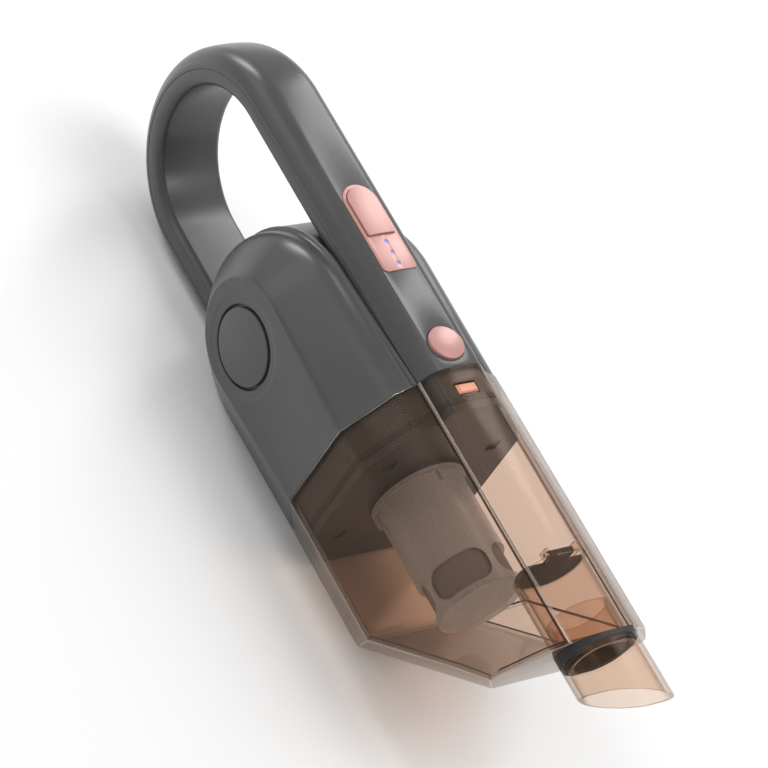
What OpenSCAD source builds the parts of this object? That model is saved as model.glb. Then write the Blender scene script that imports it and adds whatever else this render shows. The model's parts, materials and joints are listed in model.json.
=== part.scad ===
// Cordless handheld vacuum: a looped handle tube clamped between two side pods, a clear dust cup
// with a snout nozzle, and the fan, motor, cells and filter that it holds.
// +X points to the nozzle, +Z up to the spine with the buttons, and Y is across. The origin is on the
// belly, straight below the axis of the two round exhaust caps.

/* [Body] */
// Width across the two pods
body_w = 86; // [80:1:104]
// From the exhaust axis forward to the face where the dust cup meets the body
body_len = 62; // [56:1:75]
// Height of the exhaust, fan and filter axis above the belly
axis_z = 47.5; // [46:0.5:50]
// Wall of the moulded body shells
wall = 2.2; // [1.8:0.1:2.7]
// Height of the crease between a pod's side and its upper slope
crease_z = 73.7; // [70:0.5:76]
// Height of the crease between a pod's side and its lower slope
belly_crease_z = 25.5; // [22:0.5:28]
// Half width of the flat belly
belly_y = 28; // [26:0.5:32]
// Half width across the pods' rounded shoulders
shoulder_y = 26.2; // [24:0.2:28]
// Radius of the flat side's rear end
flat_r = 27; // [25:0.5:29]

/* [Handle] */
// Clear height of the hand opening
hand_h = 75; // [68:1:84]
// From the exhaust axis back to the centre of the handle's bend
bend_back = 83; // [74:1:100]
// Width of the handle tube
tube_w = 34; // [30:1:38]
// Thickness of the handle tube at its crown
tube_t = 16.5; // [15.5:0.5:18]
// Rise of the tube's crowned outer face
crown = 2; // [1:0.25:3]

/* [Controls] */
// Width of the switch panel
panel_w = 17.5; // [15:0.5:19]
// Length of the switch panel
panel_len = 44; // [40:0.5:46]
// Travel of the power key
key_travel = 1; // [0.5:0.1:1.2]
// Radius of the release button
button_r = 8; // [7:0.1:8.8]
// Travel of the release button
button_travel = 1.5; // [1:0.1:1.8]

/* [Air path] */
// Radius of the round exhaust opening in each pod
exhaust_r = 18; // [16:0.5:19]
// Radius of the fan wheel
fan_r = 29; // [24:0.5:30]
// Radius of the motor can
motor_r = 18; // [16:0.5:19]
// Length of the motor can
motor_len = 44; // [38:1:46]
// Radius of a battery cell
cell_r = 9.2; // [8:0.1:9.3]

/* [Dust cup] */
// Wall of the clear cup
cup_wall = 2.2; // [1.8:0.1:2.6]
// Length of the cup's belly, from the body to the start of its slanted front
cup_belly = 58; // [50:1:68]
// Height where the slanted front turns upright
cup_turn_z = 61; // [57:1:65]
// Slope of the cup's lower front
cup_slant = 45; // [40:1:48]
// Lean of the cup's upper front
cup_lean = 10.8; // [6:0.2:14]
// Length of the neck that plugs into the cup
neck_len = 19; // [17:0.5:22]
// Radius of the filter cartridge
filter_r = 19.5; // [17:0.5:20]
// Length of the filter cartridge
filter_len = 57.5; // [48:0.5:60]

/* [Nozzle] */
// Radius of the nozzle's round ends
snout_r = 14.5; // [12.5:0.5:15]
// Half the flat part of the nozzle's width
snout_flat = 3; // [1:0.5:5]
// Length of the nozzle on its axis, from the collar to its slanted mouth
snout_len = 21; // [16:1:34]
// Slant of the mouth from square
mouth_slant = 39; // [0:1:45]

/* [Hidden] */
$fn = 72;
eps = 0.01;
big = 400;

// Clearances
slide_gap = 0.4;     // cup over neck
seat_gap = 0.25;     // shell over shell
run_gap = 0.06;      // pin in its bore
button_gap = 0.3;    // round a button or key
face_gap = 0.1;      // between flat faces that meet across a joint

// Handle tube
keel_cut = 0.5;                                   // flat planed off the crown where it lies on the floor
limb_in_z = tube_t - keel_cut;                    // inner face of the lower limb
spine_in_z = limb_in_z + hand_h;                  // inner face of the spine
top_z = spine_in_z + tube_t;
bend_r = hand_h / 2;
bend_z = limb_in_z + bend_r;
crown_r = (pow(tube_w / 2, 2) + pow(crown, 2)) / (2 * crown);
split_o = 7.2;                                    // where the outer and inner handle shells part
tube_out_r = 9;                                   // corner radii of the tube
tube_in_r = 4;

// Pods and the section that pods, neck and cup share
x_part = body_len;
channel_y = tube_w / 2 + seat_gap;
shoulder_z = top_z - 12.7;
rim_z = top_z - 7.5;
flat_x = -1;
flat_z = (crease_z + belly_crease_z) / 2 + 0.4;
rim_x = 3;
brow_step = 1.5;                                  // how far the rear brow stands out past the shoulder
rim_low_z = -(body_w / 2 - shoulder_y - (body_w / 2 - belly_y)) * belly_crease_z / (body_w / 2 - belly_y);
half_section = [[0, 0], [belly_y, 0], [body_w / 2, belly_crease_z], [body_w / 2, crease_z],
                [shoulder_y, shoulder_z], [tube_w / 2, rim_z], [0, rim_z]];

// Switch panel and keys
panel_back_x = -31;
panel_front_x = panel_back_x + panel_len;
panel_t = 2.6;
panel_proud = 0.3;
key_margin = 1.8;
key_len = 24;
light_r = 0.95;
light_pitch = 5.6;
light_x = panel_front_x - 3.2;                    // foremost light
button_x = body_len - 11.2;
button_proud = 2.4;
flange_z = top_z - wall - 2.1;                    // underside of the button's flange

// Latch lever under the release button
pivot_x = button_x - 21;
pivot_z = spine_in_z + 7.6;
pivot_r = 1;
lever_t = 2.4;
lever_w = 10;
tab_x = x_part + 9.2;
tab_len = 4.2;
tab_top_z = top_z - cup_wall - slide_gap;
lever_turn = 1 / (button_x - pivot_x);            // radians for each millimetre of the button

// Neck and seal
neck_in = cup_wall + slide_gap;
neck_wall = 2.4;
x_plate = x_part + neck_len;
seal_x = x_part + 12.6;
seal_w = 2.6;
seal_deep = 1.1;
intake_r = 15.5;

// Fan and motor, placed back from the neck's plate
shroud_front_x = x_plate - neck_wall - 1.2;
shroud_back_x = x_part + 0.4;
shroud_wall = 1.6;
shroud_r = fan_r + 4;
motor_front_x = shroud_back_x;
shaft_r = 1.15;
fan_back_x = shroud_back_x + shroud_wall + 1.4;
fan_len = shroud_front_x - shroud_wall - 0.8 - fan_back_x;
bulkhead_t = 2.4;
cushion_t = 3;
motor_hold_x = motor_front_x - 6;

// Cells, standing across the body in an arc behind the motor
cell_len = 65;
cell_at = [[-12, axis_z + 18.6], [-20, axis_z], [-12, axis_z - 18.6]];
holder_wall = 1.3;
holder_deep = 8;

// Case screws, put in from the left
screw_at = [[-38, axis_z], [6, axis_z + 34], [6, axis_z - 24.5], [x_part - 14, axis_z + 34],
            [x_part - 14, axis_z - 24.5]];
screw_r = 1.4;
boss_r = 3.2;
head_r = 2.6;
screw_head_y = 24;

// Board in the spine
board_z = spine_in_z + 6.2;
lead_x = -8;                                      // where the leads pass the spine's floor
board_len = 58;
board_w = 25;
board_t = 1.6;
board_back_x = -42;
socket_y = 8.5;
socket_z = axis_z - 15;
socket_x = rim_x - 48.6;

// Exhaust cap
cap_gap = 1.4;
cap_t = 2;
cap_ring_t = 1.6;

// Cup and nozzle
cup_turn_x = x_part + cup_belly + cup_turn_z / tan(cup_slant);
snout_z = top_z - snout_r;
snout_wall = 2;
spigot_r = snout_r - 2.9;
duct_wall = 2.2;
duct_back_x = cup_turn_x - 29;
snout_x = cup_turn_x + 11;                        // where the nozzle's full tube starts
mouth_x = snout_x + snout_len;
collar_t = 4.6;
spigot_len = 18;
flap_t = 1.2;
flap_pin_x = duct_back_x - 1.6;
flap_pin_z = top_z - cup_wall - 2.5;
flap_pin_r = 0.8;
flap_barrel_r = 1.5;
flap_ear_y = 6.2;
flap_top_y = tube_w / 2 - cup_wall - 0.4;      // keeps the swinging flap's shoulders off the cup
side_line = 14;                                   // how far the side flat stops behind the slanted front

// Filter
filter_x = x_plate + 0.3;
filter_wall = 1.6;
filter_spigot_r = intake_r - run_gap;
window_x = x_plate + 40;
window_len = 14.5;
window_half = filter_r * 0.645;
pleats = 28;

// ---- Shared outlines -------------------------------------------------------------------------

// Points of an anticlockwise outline, moved inwards by d
function inset(p, d) = [for (i = [0:len(p) - 1])
    let (n = len(p), a = p[(i + n - 1) % n], b = p[i], c = p[(i + 1) % n],
         u = inward(a, b), v = inward(b, c))
    b + d * (u + v) / (1 + u * v)];
function inward(a, b) = [a.y - b.y, b.x - a.x] / norm(b - a);
function both_sides(h) = concat([for (i = [0:len(h) - 1]) if (h[i].x > 0) h[i]],
    [for (i = [len(h) - 1:-1:0]) if (h[i].x > 0) [-h[i].x, h[i].y]]);

// Rectangle from x0 to x1 with one corner radius at each end
module soft_bar(x0, x1, half, r0, r1) {
    for (s = [-1, 1]) {
        translate([x0 + r0, s * (half - r0)]) circle(r0);
        translate([x1 - r1, s * (half - r1)]) circle(r1);
    }
    translate([x0 + r0, -half]) square([x1 - r1 - x0 - r0, 2 * half]);
    translate([x0, -half + r0]) square([r0 + eps, 2 * (half - r0)]);
    translate([x1 - r1 - eps, -half + r1]) square([r1 + eps, 2 * (half - r1)]);
}

// Tube section, inner face at x = 0 and crowned outer face at x = tube_t, inset by w and with its
// inner face let down by low
module tube_2d(w = 0, low = 0) {
    intersection() {
        soft_bar(w - low, tube_t - w, tube_w / 2 - w, max(tube_in_r - w, 1), max(tube_out_r - w, 1));
        translate([w - low, -tube_w]) square([2 * tube_t, 2 * tube_w]);
        translate([tube_t - crown_r, 0]) circle(crown_r - w, $fn = 180);
    }
}

// Section across the neck and cup (x across, y up), inset by w
module across_2d(w = 0) {
    polygon(inset(both_sides(half_section), w));
    translate([0, spine_in_z]) rotate(90) tube_2d(w, w + 3);
}

module oval_2d(r) {
    for (s = [-1, 1]) translate([s * snout_flat, 0]) circle(r);
    translate([-snout_flat, -r]) square([2 * snout_flat, 2 * r]);
}

// Extrudes a section (x across, y up) along +X
module along_x(x0, x1) translate([x0, 0, 0]) rotate([90, 0, 90]) linear_extrude(x1 - x0) children();

// Extrudes an outline (x forward, y up) along +Y
module along_y(y0, y1) translate([0, y1, 0]) rotate([90, 0, 0]) linear_extrude(y1 - y0) children();

// Round bar along X or Y
module rod_x(x0, x1, r, y = 0, z = 0) translate([x0, y, z]) rotate([0, 90, 0]) cylinder(h = x1 - x0, r = r);
module rod_y(y0, y1, r, x = 0, z = 0) translate([x, y1, z]) rotate([90, 0, 0]) cylinder(h = y1 - y0, r = r);

// Everything in front of a plane through p whose normal is +X turned down by pitch and then by yaw
module ahead(p, pitch, yaw = 0, back = 0)
    translate(p) rotate([0, pitch, yaw]) translate([-back, -big / 2, -big / 2]) cube(big);

// ---- Pods ------------------------------------------------------------------------------------

// Solid form of the left pod, inset by w
module pod_form(w) {
    s = inset(half_section, w);
    flat_edge = flat_r - (crease_z - s[3].y);
    rim_rise = shoulder_z - s[4].y;
    rim_cz = (shoulder_z + rim_low_z) / 2;
    rim_r = (shoulder_z - rim_low_z) / 2 - rim_rise;
    brow_r = rim_r + brow_step;
    intersection() {
        union() {
            hull() {
                pod_outline(s[3].x, flat_x, flat_z, flat_edge, s[2].y, s[3].y);
                pod_outline(s[4].x, rim_x, rim_cz, rim_r, rim_cz - rim_r, s[4].y);
            }
            hull() {
                pod_outline(s[4].x, rim_x, rim_cz, rim_r, rim_cz - rim_r, s[4].y);
                pod_outline(s[5].x, rim_x, rim_cz, brow_r, rim_cz - brow_r, s[5].y);
            }
            along_y(-1, s[5].x) pod_face(rim_x, rim_cz, brow_r, rim_cz - brow_r, s[5].y);
        }
        translate([-big / 2, 0, w]) cube([big / 2 + x_part, big, big]);
    }
}
module pod_outline(y, x, z, r, low, high) along_y(y - eps, y) pod_face(x, z, r, low, high);
module pod_face(x, z, r, low, high) {
    translate([x, z]) circle(r);
    polygon([[x, z - r], [x_part, low], [x_part, high], [x, z + r]]);
}

// Channel that the handle tube lies in, top and bottom, wider by w
module tube_channel(w) {
    for (z = [[-10, limb_in_z + seat_gap + w], [spine_in_z - seat_gap - w, top_z + 20]])
        translate([-big / 2, -channel_y - w, z[0]]) cube([big, 2 * (channel_y + w), z[1] - z[0]]);
}

module pod_shell(is_left) {
    difference() {
        union() {
            difference() {
                pod_form(0);
                difference() {
                    union() {
                        pod_form(wall);
                        intersection() {
                            along_x(x_part - 5, x_part + 1) polygon(inset(both_sides(half_section), wall));
                            translate([0, -1, 0]) cube(big);
                        }
                    }
                    tube_channel(wall);
                }
            }
            screw_bosses(is_left);
        }
        tube_channel(0);
        translate([-big / 2, -big, -big / 2]) cube(big);
        rod_y(body_w / 2 - 10, body_w / 2 + 1, exhaust_r, 0, axis_z);
        for (p = screw_at) if (is_left) {
            rod_y(-1, body_w, screw_r + 0.25, p[0], p[1]);
            rod_y(screw_head_y, body_w, head_r + 0.4, p[0], p[1]);
        } else rod_y(-1, screw_head_y - 4, screw_r, p[0], p[1]);
        if (is_left) translate([socket_x - 10, socket_y - 4.8, socket_z - 0.3]) cube([14, 9.6, 3.8]);
        translate([lead_x, 0, spine_in_z - 8]) cylinder(h = 10, r = 4);
    }
}
module screw_bosses(is_left) intersection() {
    for (p = screw_at) rod_y(0, body_w, is_left ? boss_r + 1 : boss_r, p[0], p[1]);
    pod_form(wall / 2);
}
module left_pod_shell() color("#4d4c4b") pod_shell(true);
module right_pod_shell() color("#4d4c4b") mirror([0, 1, 0]) pod_shell(false);

module exhaust_cap() {
    y = body_w / 2;
    rod_y(y - cap_t, y, exhaust_r - cap_gap, 0, axis_z);
    for (a = [45:90:315]) translate([0, 0, axis_z]) rotate([0, a, 0])
        translate([exhaust_r - cap_gap - 4, y - wall - cap_ring_t - 0.1, -1.5]) cube([3, wall + 0.7, 3]);
    difference() {
        rod_y(y - wall - cap_ring_t - 0.1, y - wall - 0.1, exhaust_r + 2.2, 0, axis_z);
        rod_y(y - wall - 3, y, exhaust_r - cap_gap - 4.5, 0, axis_z);
    }
}
module left_exhaust_cap() color("#3a3938") exhaust_cap();
module right_exhaust_cap() color("#3a3938") mirror([0, 1, 0]) exhaust_cap();
module exhaust_foam() rod_y(body_w / 2 - wall - cap_ring_t - 3.2, body_w / 2 - wall - cap_ring_t - 0.2,
    exhaust_r + 1, 0, axis_z);
module left_exhaust_foam() color("#222222") exhaust_foam();
module right_exhaust_foam() color("#222222") mirror([0, 1, 0]) exhaust_foam();

module case_screws() color("silver") for (p = screw_at) {
    rod_y(-screw_head_y + 6, screw_head_y, screw_r, p[0], p[1]);
    difference() {
        rod_y(screw_head_y, screw_head_y + 1.8, head_r, p[0], p[1]);
        for (a = [0, 90]) translate([p[0], screw_head_y + 1.8, p[1]]) rotate([0, a, 0])
            cube([3, 1.6, 0.6], center = true);
    }
}

// ---- Handle ----------------------------------------------------------------------------------

// Runs a tube section round the whole handle: spine, bend and lower limb
module round_loop() {
    translate([x_part, 0, spine_in_z]) rotate([0, -90, 0]) linear_extrude(x_part + bend_back) children();
    translate([-bend_back, 0, bend_z]) rotate([90, 0, 0]) rotate([0, 0, 90])
        rotate_extrude(angle = 180, $fn = 120) translate([bend_r, 0]) children();
    translate([-bend_back, 0, limb_in_z]) rotate([0, 90, 0]) linear_extrude(x_part + bend_back) children();
}
module keep_above_floor() difference() {
    children();
    translate([-big / 2, -big / 2, -big]) cube(big);
}

module handle_outer_shell() color("#4d4c4b") difference() {
    keep_above_floor() round_loop() difference() {
        tube_2d();
        tube_2d(wall);
        translate([-1, -tube_w]) square([split_o + 1, 2 * tube_w]);
    }
    translate([0, 0, top_z - panel_t + panel_proud]) linear_extrude(10) panel_2d(-0.05);
    translate([0, 0, spine_in_z + split_o]) linear_extrude(20) panel_2d(1.5);
    translate([button_x, 0, spine_in_z + split_o]) cylinder(h = 20, r = button_r + button_gap);
}
module handle_inner_shell() color("#4d4c4b") {
    difference() {
        round_loop() difference() {
            intersection() {
                tube_2d();
                translate([-1, -tube_w]) square([split_o + 1, 2 * tube_w]);
            }
            tube_2d(wall);
        }
        translate([lead_x, 0, spine_in_z - 1]) cylinder(h = wall + 2, r = 4);
    }
    for (x = [board_back_x + 4, board_back_x + board_len - 4], s = [-1, 1])
        translate([x, s * (board_w / 2 - 3), spine_in_z + wall - eps])
            cylinder(h = board_z - spine_in_z - wall + eps, r = 1.8);
    for (s = [-1, 1]) difference() {
        translate([pivot_x - 3.4, s > 0 ? lever_w / 2 + 0.4 : -lever_w / 2 - 2.8, spine_in_z + wall - eps])
            cube([6.8, 2.4, pivot_z - spine_in_z - wall + 2.2]);
        rod_y(-lever_w, lever_w, pivot_r, pivot_x, pivot_z);
    }
    translate([button_x, 0, spine_in_z + wall - eps]) cylinder(h = 1, r = 1.6);
}

// ---- Controls --------------------------------------------------------------------------------

module panel_2d(w) translate([panel_back_x, 0])
    soft_bar(w, panel_len - w, panel_w / 2 - w, panel_w / 2 - w - eps, 2.6);
module key_2d(w) translate([panel_back_x + key_margin, 0])
    soft_bar(w, key_len - w, panel_w / 2 - key_margin - w, panel_w / 2 - key_margin - w - eps, 0.8);

// Keeps what lies under the spine's crown, raised by rise
module under_crown(rise) intersection() {
    children();
    rod_x(-big / 2, big / 2, crown_r + rise, 0, top_z - crown_r, $fn = 180);
}

module switch_panel() color("#e0a096") difference() {
    under_crown(panel_proud) translate([0, 0, top_z - panel_t + panel_proud])
        linear_extrude(panel_t + 1) panel_2d(0.05);
    translate([0, 0, top_z - 10]) linear_extrude(20) key_2d(-button_gap);
    for (i = [0:2]) translate([light_x - i * light_pitch, 0, top_z - 10]) cylinder(h = 20, r = light_r);
}
module power_key() color("#e0a096") {
    under_crown(panel_proud + 0.9) translate([0, 0, top_z - panel_t - 0.6]) linear_extrude(10) key_2d(0);
    translate([panel_back_x + 11.5, 0, board_z + board_t + 3.7 + face_gap + key_travel])
        cylinder(h = top_z - panel_t - board_z - board_t - 3.7 - key_travel, r = 2);
}
module power_switch() color("#26262a") translate([panel_back_x + 11.5, 0, board_z + board_t]) {
    translate([-3, -3, 0]) cube([6, 6, 2.6]);
    cylinder(h = 3.7, r = 1.7);
}
module status_lights() color("#2f6bff") for (i = [0:2])
    translate([light_x - i * light_pitch, 0, top_z - panel_t]) cylinder(h = panel_t + 0.1, r = light_r - 0.08);

module release_button() color("#e0a096") translate([button_x, 0, 0]) {
    intersection() {
        translate([0, 0, flange_z]) cylinder(h = top_z - flange_z + button_proud, r = button_r);
        translate([0, 0, top_z + button_proud - 18]) sphere(18, $fn = 96);
    }
    translate([0, 0, flange_z]) cylinder(h = 1, r = button_r + 1.2);
    translate([0, 0, pivot_z + lever_t / 2 + 0.16]) cylinder(h = flange_z - pivot_z - lever_t / 2, r = 1.2);
}

module latch_lever() color("#d9823c") difference() {
    union() {
        translate([pivot_x, -lever_w / 2, pivot_z - lever_t / 2])
            cube([tab_x - pivot_x + tab_len / 2, lever_w, lever_t]);
        rod_y(-lever_w / 2, lever_w / 2, 2.4, pivot_x, pivot_z);
        translate([tab_x - tab_len / 2, -lever_w / 2, pivot_z - lever_t / 2])
            cube([tab_len, lever_w, tab_top_z - 0.1 - pivot_z + lever_t / 2]);
    }
    rod_y(-lever_w, lever_w, pivot_r + run_gap, pivot_x, pivot_z);
}
module latch_pin() color("silver") rod_y(-lever_w / 2 - 2.7, lever_w / 2 + 2.7, pivot_r - 0.005, pivot_x, pivot_z);

// Coil spring of n turns and wire radius q, between z0 and z1
function coil_ring(t, z0, z1, n, r, q, m) = [for (k = [0:m - 1])
    let (a = 360 * n * t, b = 360 * k / m)
    [(r + q * cos(b)) * cos(a), (r + q * cos(b)) * sin(a), z0 + q + (z1 - z0 - 2 * q) * t + q * sin(b)]];
module coil(z0, z1, n, r, q) {
    steps = n * 14;
    m = 8;
    pts = [for (i = [0:steps], p = coil_ring(i / steps, z0, z1, n, r, q, m)) p];
    sides = [for (i = [0:steps - 1], k = [0:m - 1])
        [i * m + k, i * m + (k + 1) % m, (i + 1) * m + (k + 1) % m, (i + 1) * m + k]];
    polyhedron(pts, concat([[for (k = [m - 1:-1:0]) k]], sides, [[for (k = [0:m - 1]) steps * m + k]]));
}
module latch_spring() color("silver") translate([button_x, 0, 0])
    coil(spine_in_z + wall + 0.05, pivot_z - lever_t / 2 - 0.05, 3, 2.6, 0.3);

// ---- Board, cells and wiring -------------------------------------------------------------------

module control_board() color("#2c6b3f") translate([board_back_x, -board_w / 2, board_z])
    cube([board_len, board_w, board_t]);
module board_components() color("#202020") {
    z = board_z + board_t;
    translate([board_back_x + 5, -5, z]) cube([7, 7, 1.4]);
    translate([board_back_x + 6, 5.5, z]) cube([4, 3, 1.2]);
    translate([board_back_x + board_len - 16, 4.5, z]) cube([9, 5, 2]);
    translate([board_back_x + board_len - 12, -8, z]) cylinder(h = 4, r = 2.4);
    for (i = [0:2]) translate([light_x - i * light_pitch - 1.5, -1.5, z])
        cube([3, 3, top_z - panel_t - z - 0.05]);
}
module battery_cells() color("#3d6f8f") for (c = cell_at) rod_y(-cell_len / 2, cell_len / 2, cell_r, c[0], c[1]);
module battery_holder() color("#333333") {
    y1 = cell_len / 2 + 0.1 + holder_wall;
    for (s = [0, 1]) mirror([0, s, 0]) difference() {
        union() {
            for (c = cell_at) rod_y(y1 - holder_deep, y1, cell_r + holder_wall, c[0], c[1]);
            along_y(y1 - holder_deep, y1) translate([-16, axis_z - 19]) square([12, 38]);
        }
        for (c = cell_at) {
            rod_y(0, cell_len / 2 + 0.1, cell_r + 0.1, c[0], c[1]);
            rod_y(0, y1 + 1, 4, c[0], c[1]);
        }
    }
    for (z = [-12, 9]) translate([-5.4, -y1 + 1, axis_z + z]) cube([1.4, 2 * y1 - 2, 3]);
}
module cell_links() color("silver") {
    y1 = cell_len / 2 + 0.1 + holder_wall;
    for (i = [0, 1]) mirror([0, i, 0]) along_y(y1 + 0.02, y1 + 0.32) {
        translate(cell_at[i]) circle(3.4);
        translate(cell_at[i + 1]) circle(3.4);
        dx = cell_at[i + 1] - cell_at[i];
        translate(cell_at[i]) rotate(atan2(dx.y, dx.x)) translate([0, -2]) square([norm(dx), 4]);
    }
}
module charging_socket() color("#8a8a8e") difference() {
    translate([socket_x + 1, socket_y - 4.5, socket_z]) cube([8, 9, 3.2]);
    translate([socket_x, socket_y - 4.1, socket_z + 0.4]) cube([7, 8.2, 2.4]);
}

// Two leads from the board down through the spine's floor to the motor's rear terminals
module lead(p, r) for (i = [0:len(p) - 2]) {
    d = p[i + 1] - p[i];
    translate(p[i]) rotate([0, acos(d.z / norm(d)), atan2(d.y, d.x)]) cylinder(h = norm(d), r = r, $fn = 16);
    if (i > 0) translate(p[i]) sphere(r * 1.04, $fn = 16);
}
module power_leads() color("#b03030") for (s = [-1, 1])
    lead([[lead_x, 2 * s, board_z - 0.05], [lead_x, 2 * s, spine_in_z - 12], [4, 8 * s, axis_z + 16],
          [motor_front_x - motor_len - 3, 8 * s, axis_z + 4], [motor_front_x - motor_len - 0.05, 8 * s, axis_z + 4]],
         0.9);

// ---- Fan and motor -----------------------------------------------------------------------------

module motor_can() color("#a9abad") {
    x0 = motor_front_x - motor_len;
    difference() {
        union() {
            rod_x(x0, motor_front_x - 0.1, motor_r, 0, axis_z);
            rod_x(motor_front_x - 0.2, motor_front_x + shroud_wall, 5, 0, axis_z);
            rod_x(x0 - 2, x0 + 0.1, 5, 0, axis_z);
        }
        rod_x(x0 - 3, motor_front_x + 5, shaft_r + run_gap, 0, axis_z);
        for (s = [-1, 1]) rod_x(motor_front_x - 5, motor_front_x + 1, 1.25, 0, axis_z + s * 11);
        for (a = [0:90:270]) translate([x0 + 10, 0, axis_z]) rotate([a + 45, 0, 0])
            translate([0, motor_r - 1, -3]) cube([10, 3, 6]);
    }
}
module motor_shaft() color("silver")
    rod_x(motor_front_x - motor_len - 4, fan_back_x + fan_len - 1, shaft_r, 0, axis_z);
module motor_screws() color("silver") for (s = [-1, 1]) {
    rod_x(motor_front_x - 4.5, motor_front_x + shroud_wall, 1.25, 0, axis_z + s * 11);
    rod_x(motor_front_x + shroud_wall, motor_front_x + shroud_wall + 1, 2.2, 0, axis_z + s * 11);
}
module fan_shroud() color("#5a5a5c") difference() {
    rod_x(shroud_back_x, shroud_front_x, shroud_r, 0, axis_z);
    rod_x(shroud_back_x + shroud_wall, shroud_front_x - shroud_wall, shroud_r - shroud_wall, 0, axis_z);
    rod_x(shroud_front_x - 3, shroud_front_x + 1, intake_r, 0, axis_z);
    rod_x(shroud_back_x - 1, shroud_back_x + 3, 5.05, 0, axis_z);
    for (s = [-1, 1]) rod_x(shroud_back_x - 1, shroud_back_x + 3, 1.3, 0, axis_z + s * 11);
    for (a = [0:30:330]) translate([shroud_back_x - 1, 0, axis_z]) rotate([a, 0, 0])
        translate([0, motor_r + cushion_t + 1.5, -3.5]) cube([4, shroud_r - motor_r - cushion_t - 4, 7]);
}
module fan_wheel() color("#d8d8d6") difference() {
    union() {
        rod_x(fan_back_x, fan_back_x + 1.4, fan_r, 0, axis_z);
        rod_x(fan_back_x, fan_back_x + fan_len, 5, 0, axis_z);
        for (a = [0:36:324]) along_x(fan_back_x, fan_back_x + fan_len - 2) translate([0, axis_z]) rotate(a)
            intersection() {
                translate([3.5, 0]) rotate(24) square([fan_r, 1.3]);
                circle(fan_r - 0.2);
            }
    }
    rod_x(fan_back_x - 1, fan_back_x + fan_len + 1, shaft_r + 0.005, 0, axis_z);
}
module motor_bulkhead() color("#444444") difference() {
    along_x(motor_hold_x, motor_hold_x + bulkhead_t) intersection() {
        polygon(inset(both_sides(half_section), wall + seat_gap));
        translate([-big / 2, limb_in_z + seat_gap * 2 + wall])
            square([big, spine_in_z - limb_in_z - 2 * wall - 4 * seat_gap]);
    }
    rod_x(motor_hold_x - 1, motor_hold_x + 4, motor_r + cushion_t + 0.05, 0, axis_z);
    for (a = [0:45:315]) rod_x(motor_hold_x - 1, motor_hold_x + 4, 3.6, 27 * cos(a), axis_z + 27 * sin(a));
}
module motor_cushion() color("#1d1d1d") difference() {
    rod_x(motor_hold_x - 2, motor_front_x - 0.1, motor_r + cushion_t, 0, axis_z);
    rod_x(motor_hold_x - 3, motor_front_x, motor_r + 0.02, 0, axis_z);
}

// ---- Neck --------------------------------------------------------------------------------------

module neck_frame() color("#3f3e3d") {
    difference() {
        along_x(x_part, x_plate) across_2d(neck_in);
        along_x(x_part - 1, x_plate - neck_wall) across_2d(neck_in + neck_wall);
        rod_x(x_plate - 5, x_plate + 1, intake_r, 0, axis_z);
        along_x(seal_x, seal_x + seal_w) difference() {
            across_2d(0);
            across_2d(neck_in + seal_deep);
        }
        translate([tab_x - tab_len / 2 - 0.9, -lever_w / 2 - 0.5, pivot_z]) cube([tab_len + 1.8, lever_w + 1, 30]);
        for (s = [-1, 1], z = [-24, 24]) translate([x_plate - 1.2, s * 27 - 3, axis_z + z - 3]) cube(6);
    }
    for (s = [0, 1]) mirror([0, s, 0]) translate([x_part - 3, body_w / 2 - neck_in - 3, axis_z - 7])
        cube([5, 2.4, 14]);
}
module neck_seal() color("#222222") intersection() {
    along_x(seal_x + 0.05, seal_x + seal_w - 0.05) difference() {
        across_2d(cup_wall + face_gap);
        across_2d(neck_in + seal_deep - eps);
    }
    cup_form(cup_wall + face_gap, x_part);
}

// ---- Dust cup ----------------------------------------------------------------------------------

// Outer form of the cup, inset by w
module cup_form(w, x0) {
    crease = [x_part, body_w / 2, crease_z];
    side_mid = [cup_turn_x - 30, body_w / 2, cup_turn_z - 30 + side_line];
    difference() {
        along_x(x0, x_part + big / 2) across_2d(w);
        ahead([x_part + cup_belly, 0, 0], cup_slant, 0, w);
        ahead([cup_turn_x, 0, cup_turn_z], cup_lean, 0, w);
        for (s = [0, 1]) mirror([0, s, 0]) {
            ahead(crease, -17.9, 88.7, w);
            ahead(side_mid, 35, 45.6, w);
        }
    }
}
module cup_shell() color([0.55, 0.42, 0.36, 0.45]) difference() {
    union() {
        difference() {
            cup_form(0, x_part + face_gap);
            cup_form(cup_wall, x_part - 1);
        }
        intersection() {
            along_x(duct_back_x, mouth_x) translate([0, snout_z]) oval_2d(spigot_r + seat_gap + duct_wall);
            cup_form(0, x_part + face_gap);
        }
        for (s = [-1, 1]) translate([flap_pin_x - 2, s > 0 ? flap_ear_y : -flap_ear_y - 2, flap_pin_z - 2.4])
            cube([4, 2, 4.9]);
    }
    along_x(duct_back_x - 1, mouth_x) translate([0, snout_z]) oval_2d(spigot_r + seat_gap);
    translate([tab_x - tab_len / 2 - 0.6, -lever_w / 2 - 0.4, top_z - 6]) cube([tab_len + 1.2, lever_w + 0.8, 9]);
    rod_y(-10, 10, flap_pin_r + 0.005, flap_pin_x, flap_pin_z);
}
module flap_pin() color("silver") rod_y(-flap_ear_y - 2, flap_ear_y + 2, flap_pin_r, flap_pin_x, flap_pin_z);
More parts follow.
